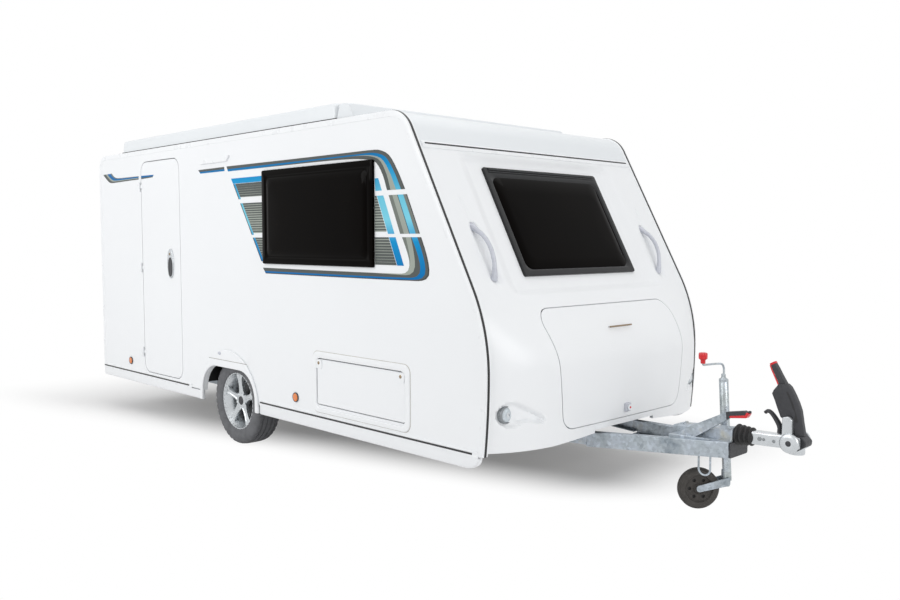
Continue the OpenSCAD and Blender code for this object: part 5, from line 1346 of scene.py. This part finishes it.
def floor_material():
    """Pale floor whose real shading, the caravan's shadow among it, shows only inside a painted patch cut
    to that shadow's outline; outside the patch it turns plain white.
    """
    n = Nodes("studio_floor")
    tree = n.tree
    out = tree.nodes["Material Output"]
    n.colour(n.noise(3.0), [(0.3, (0.90, 0.90, 0.905, 1)), (0.7, (0.92, 0.92, 0.92, 1))])
    n.set(Roughness=0.9, Specular_IOR_Level=0.1)
    glow = n.add("ShaderNodeEmission", Color=(1, 1, 1, 1), Strength=1.0)

    def math_node(op, a, b):
        m = tree.nodes.new("ShaderNodeMath")
        m.operation = op
        for socket, value in zip(m.inputs, (a, b)):
            if isinstance(value, (int, float)):
                socket.default_value = value
            else:
                n.link(value, socket)
        return m.outputs[0]

    xyz = n.add("ShaderNodeSeparateXYZ")
    n.link(n.coord, xyz.inputs["Vector"])
    x, y = xyz.outputs["X"], xyz.outputs["Y"]
    # The patch's near edge slants with the edge of the caravan's shadow: its outline is painted shadow,
    # while what shows inside it is real shading
    shadow_lean = math_node("SUBTRACT", y, math_node("MULTIPLY", x, 0.25))
    # Past each edge of the painted shadow patch: where it starts and over what distance it turns white
    shadow_patch_distance = 0.0
    for value, start, reach in ((x, 1.4, 0.75), (x, -2.6, -2.0), (shadow_lean, -0.12, -0.72), (y, 1.3, 1.0)):
        past = math_node("MAXIMUM", math_node("DIVIDE", math_node("SUBTRACT", value, start), reach), 0.0)
        shadow_patch_distance = math_node("ADD", math_node("MULTIPLY", past, past), shadow_patch_distance)
    shadow_patch_fade = n.add("ShaderNodeMapRange", From_Min=0.0, From_Max=1.0, To_Min=0.17)
    shadow_patch_fade.interpolation_type = "SMOOTHSTEP"
    n.link(math_node("SQRT", shadow_patch_distance, 0.0), shadow_patch_fade.inputs["Value"])
    mix = tree.nodes.new("ShaderNodeMixShader")
    n.link(math_node("MULTIPLY", seen_rays(tree), shadow_patch_fade.outputs["Result"]), mix.inputs[0])
    n.link(n.bsdf.outputs[0], mix.inputs[1])
    n.link(glow.outputs[0], mix.inputs[2])
    n.link(mix.outputs[0], out.inputs["Surface"])
    return n.mat


me = bpy.data.meshes.new("studio_floor")
FLOOR = 60.0
me.from_pydata([(-FLOOR, -FLOOR, 0), (FLOOR, -FLOOR, 0), (FLOOR, FLOOR, 0), (-FLOOR, FLOOR, 0)], [],
    [(0, 1, 2, 3)])
me.materials.append(floor_material())
floor = put("studio_floor", me)

world = bpy.data.worlds.new("studio")
scene.world = world
world.use_nodes = True
wt = world.node_tree
bg = wt.nodes["Background"]
bg.inputs["Color"].default_value = (1, 1, 1, 1)
bg.inputs["Strength"].default_value = 0.55
white_bg = wt.nodes.new("ShaderNodeBackground")
white_bg.inputs["Color"].default_value = (1, 1, 1, 1)
white_bg.inputs["Strength"].default_value = 1.0
wmix = wt.nodes.new("ShaderNodeMixShader")
wt.links.new(seen_rays(wt), wmix.inputs[0])
wt.links.new(bg.outputs[0], wmix.inputs[1])
wt.links.new(white_bg.outputs[0], wmix.inputs[2])
wt.links.new(wmix.outputs[0], wt.nodes["World Output"].inputs["Surface"])


def area(name, loc, target, size, power, size_y):
    light = bpy.data.lights.new(name, "AREA")
    light.energy = power
    light.shape = "RECTANGLE"
    light.size = size
    light.size_y = size_y
    ob = put(name, light)
    ob.location = loc
    ob.rotation_euler = (Vector(target) - Vector(loc)).to_track_quat("-Z", "Y").to_euler()


area("overhead", (0.3, 0.0, 6.0), (0.0, 0.0, 0.5), 8.0, 95.0, 5.0)
area("key_side", (-2.5, -8.0, 4.2), (-0.3, -0.9, 1.0), 6.0, 235.0, 4.0)
area("front_fill", (8.5, -1.0, 3.5), (1.8, 0.0, 0.9), 4.0, 165.0, 3.0)

cam = bpy.data.cameras.new("photo_camera")
cam.lens = 35.24
cam.sensor_width = 36.0
cam_ob = put("photo_camera", cam)
cam_ob.location = (4.566, -4.039, 1.408)
cam_ob.rotation_euler = (radians(90 - 3.93), 0, radians(45.85))
scene.camera = cam_ob
scene.view_settings.view_transform = "Standard"
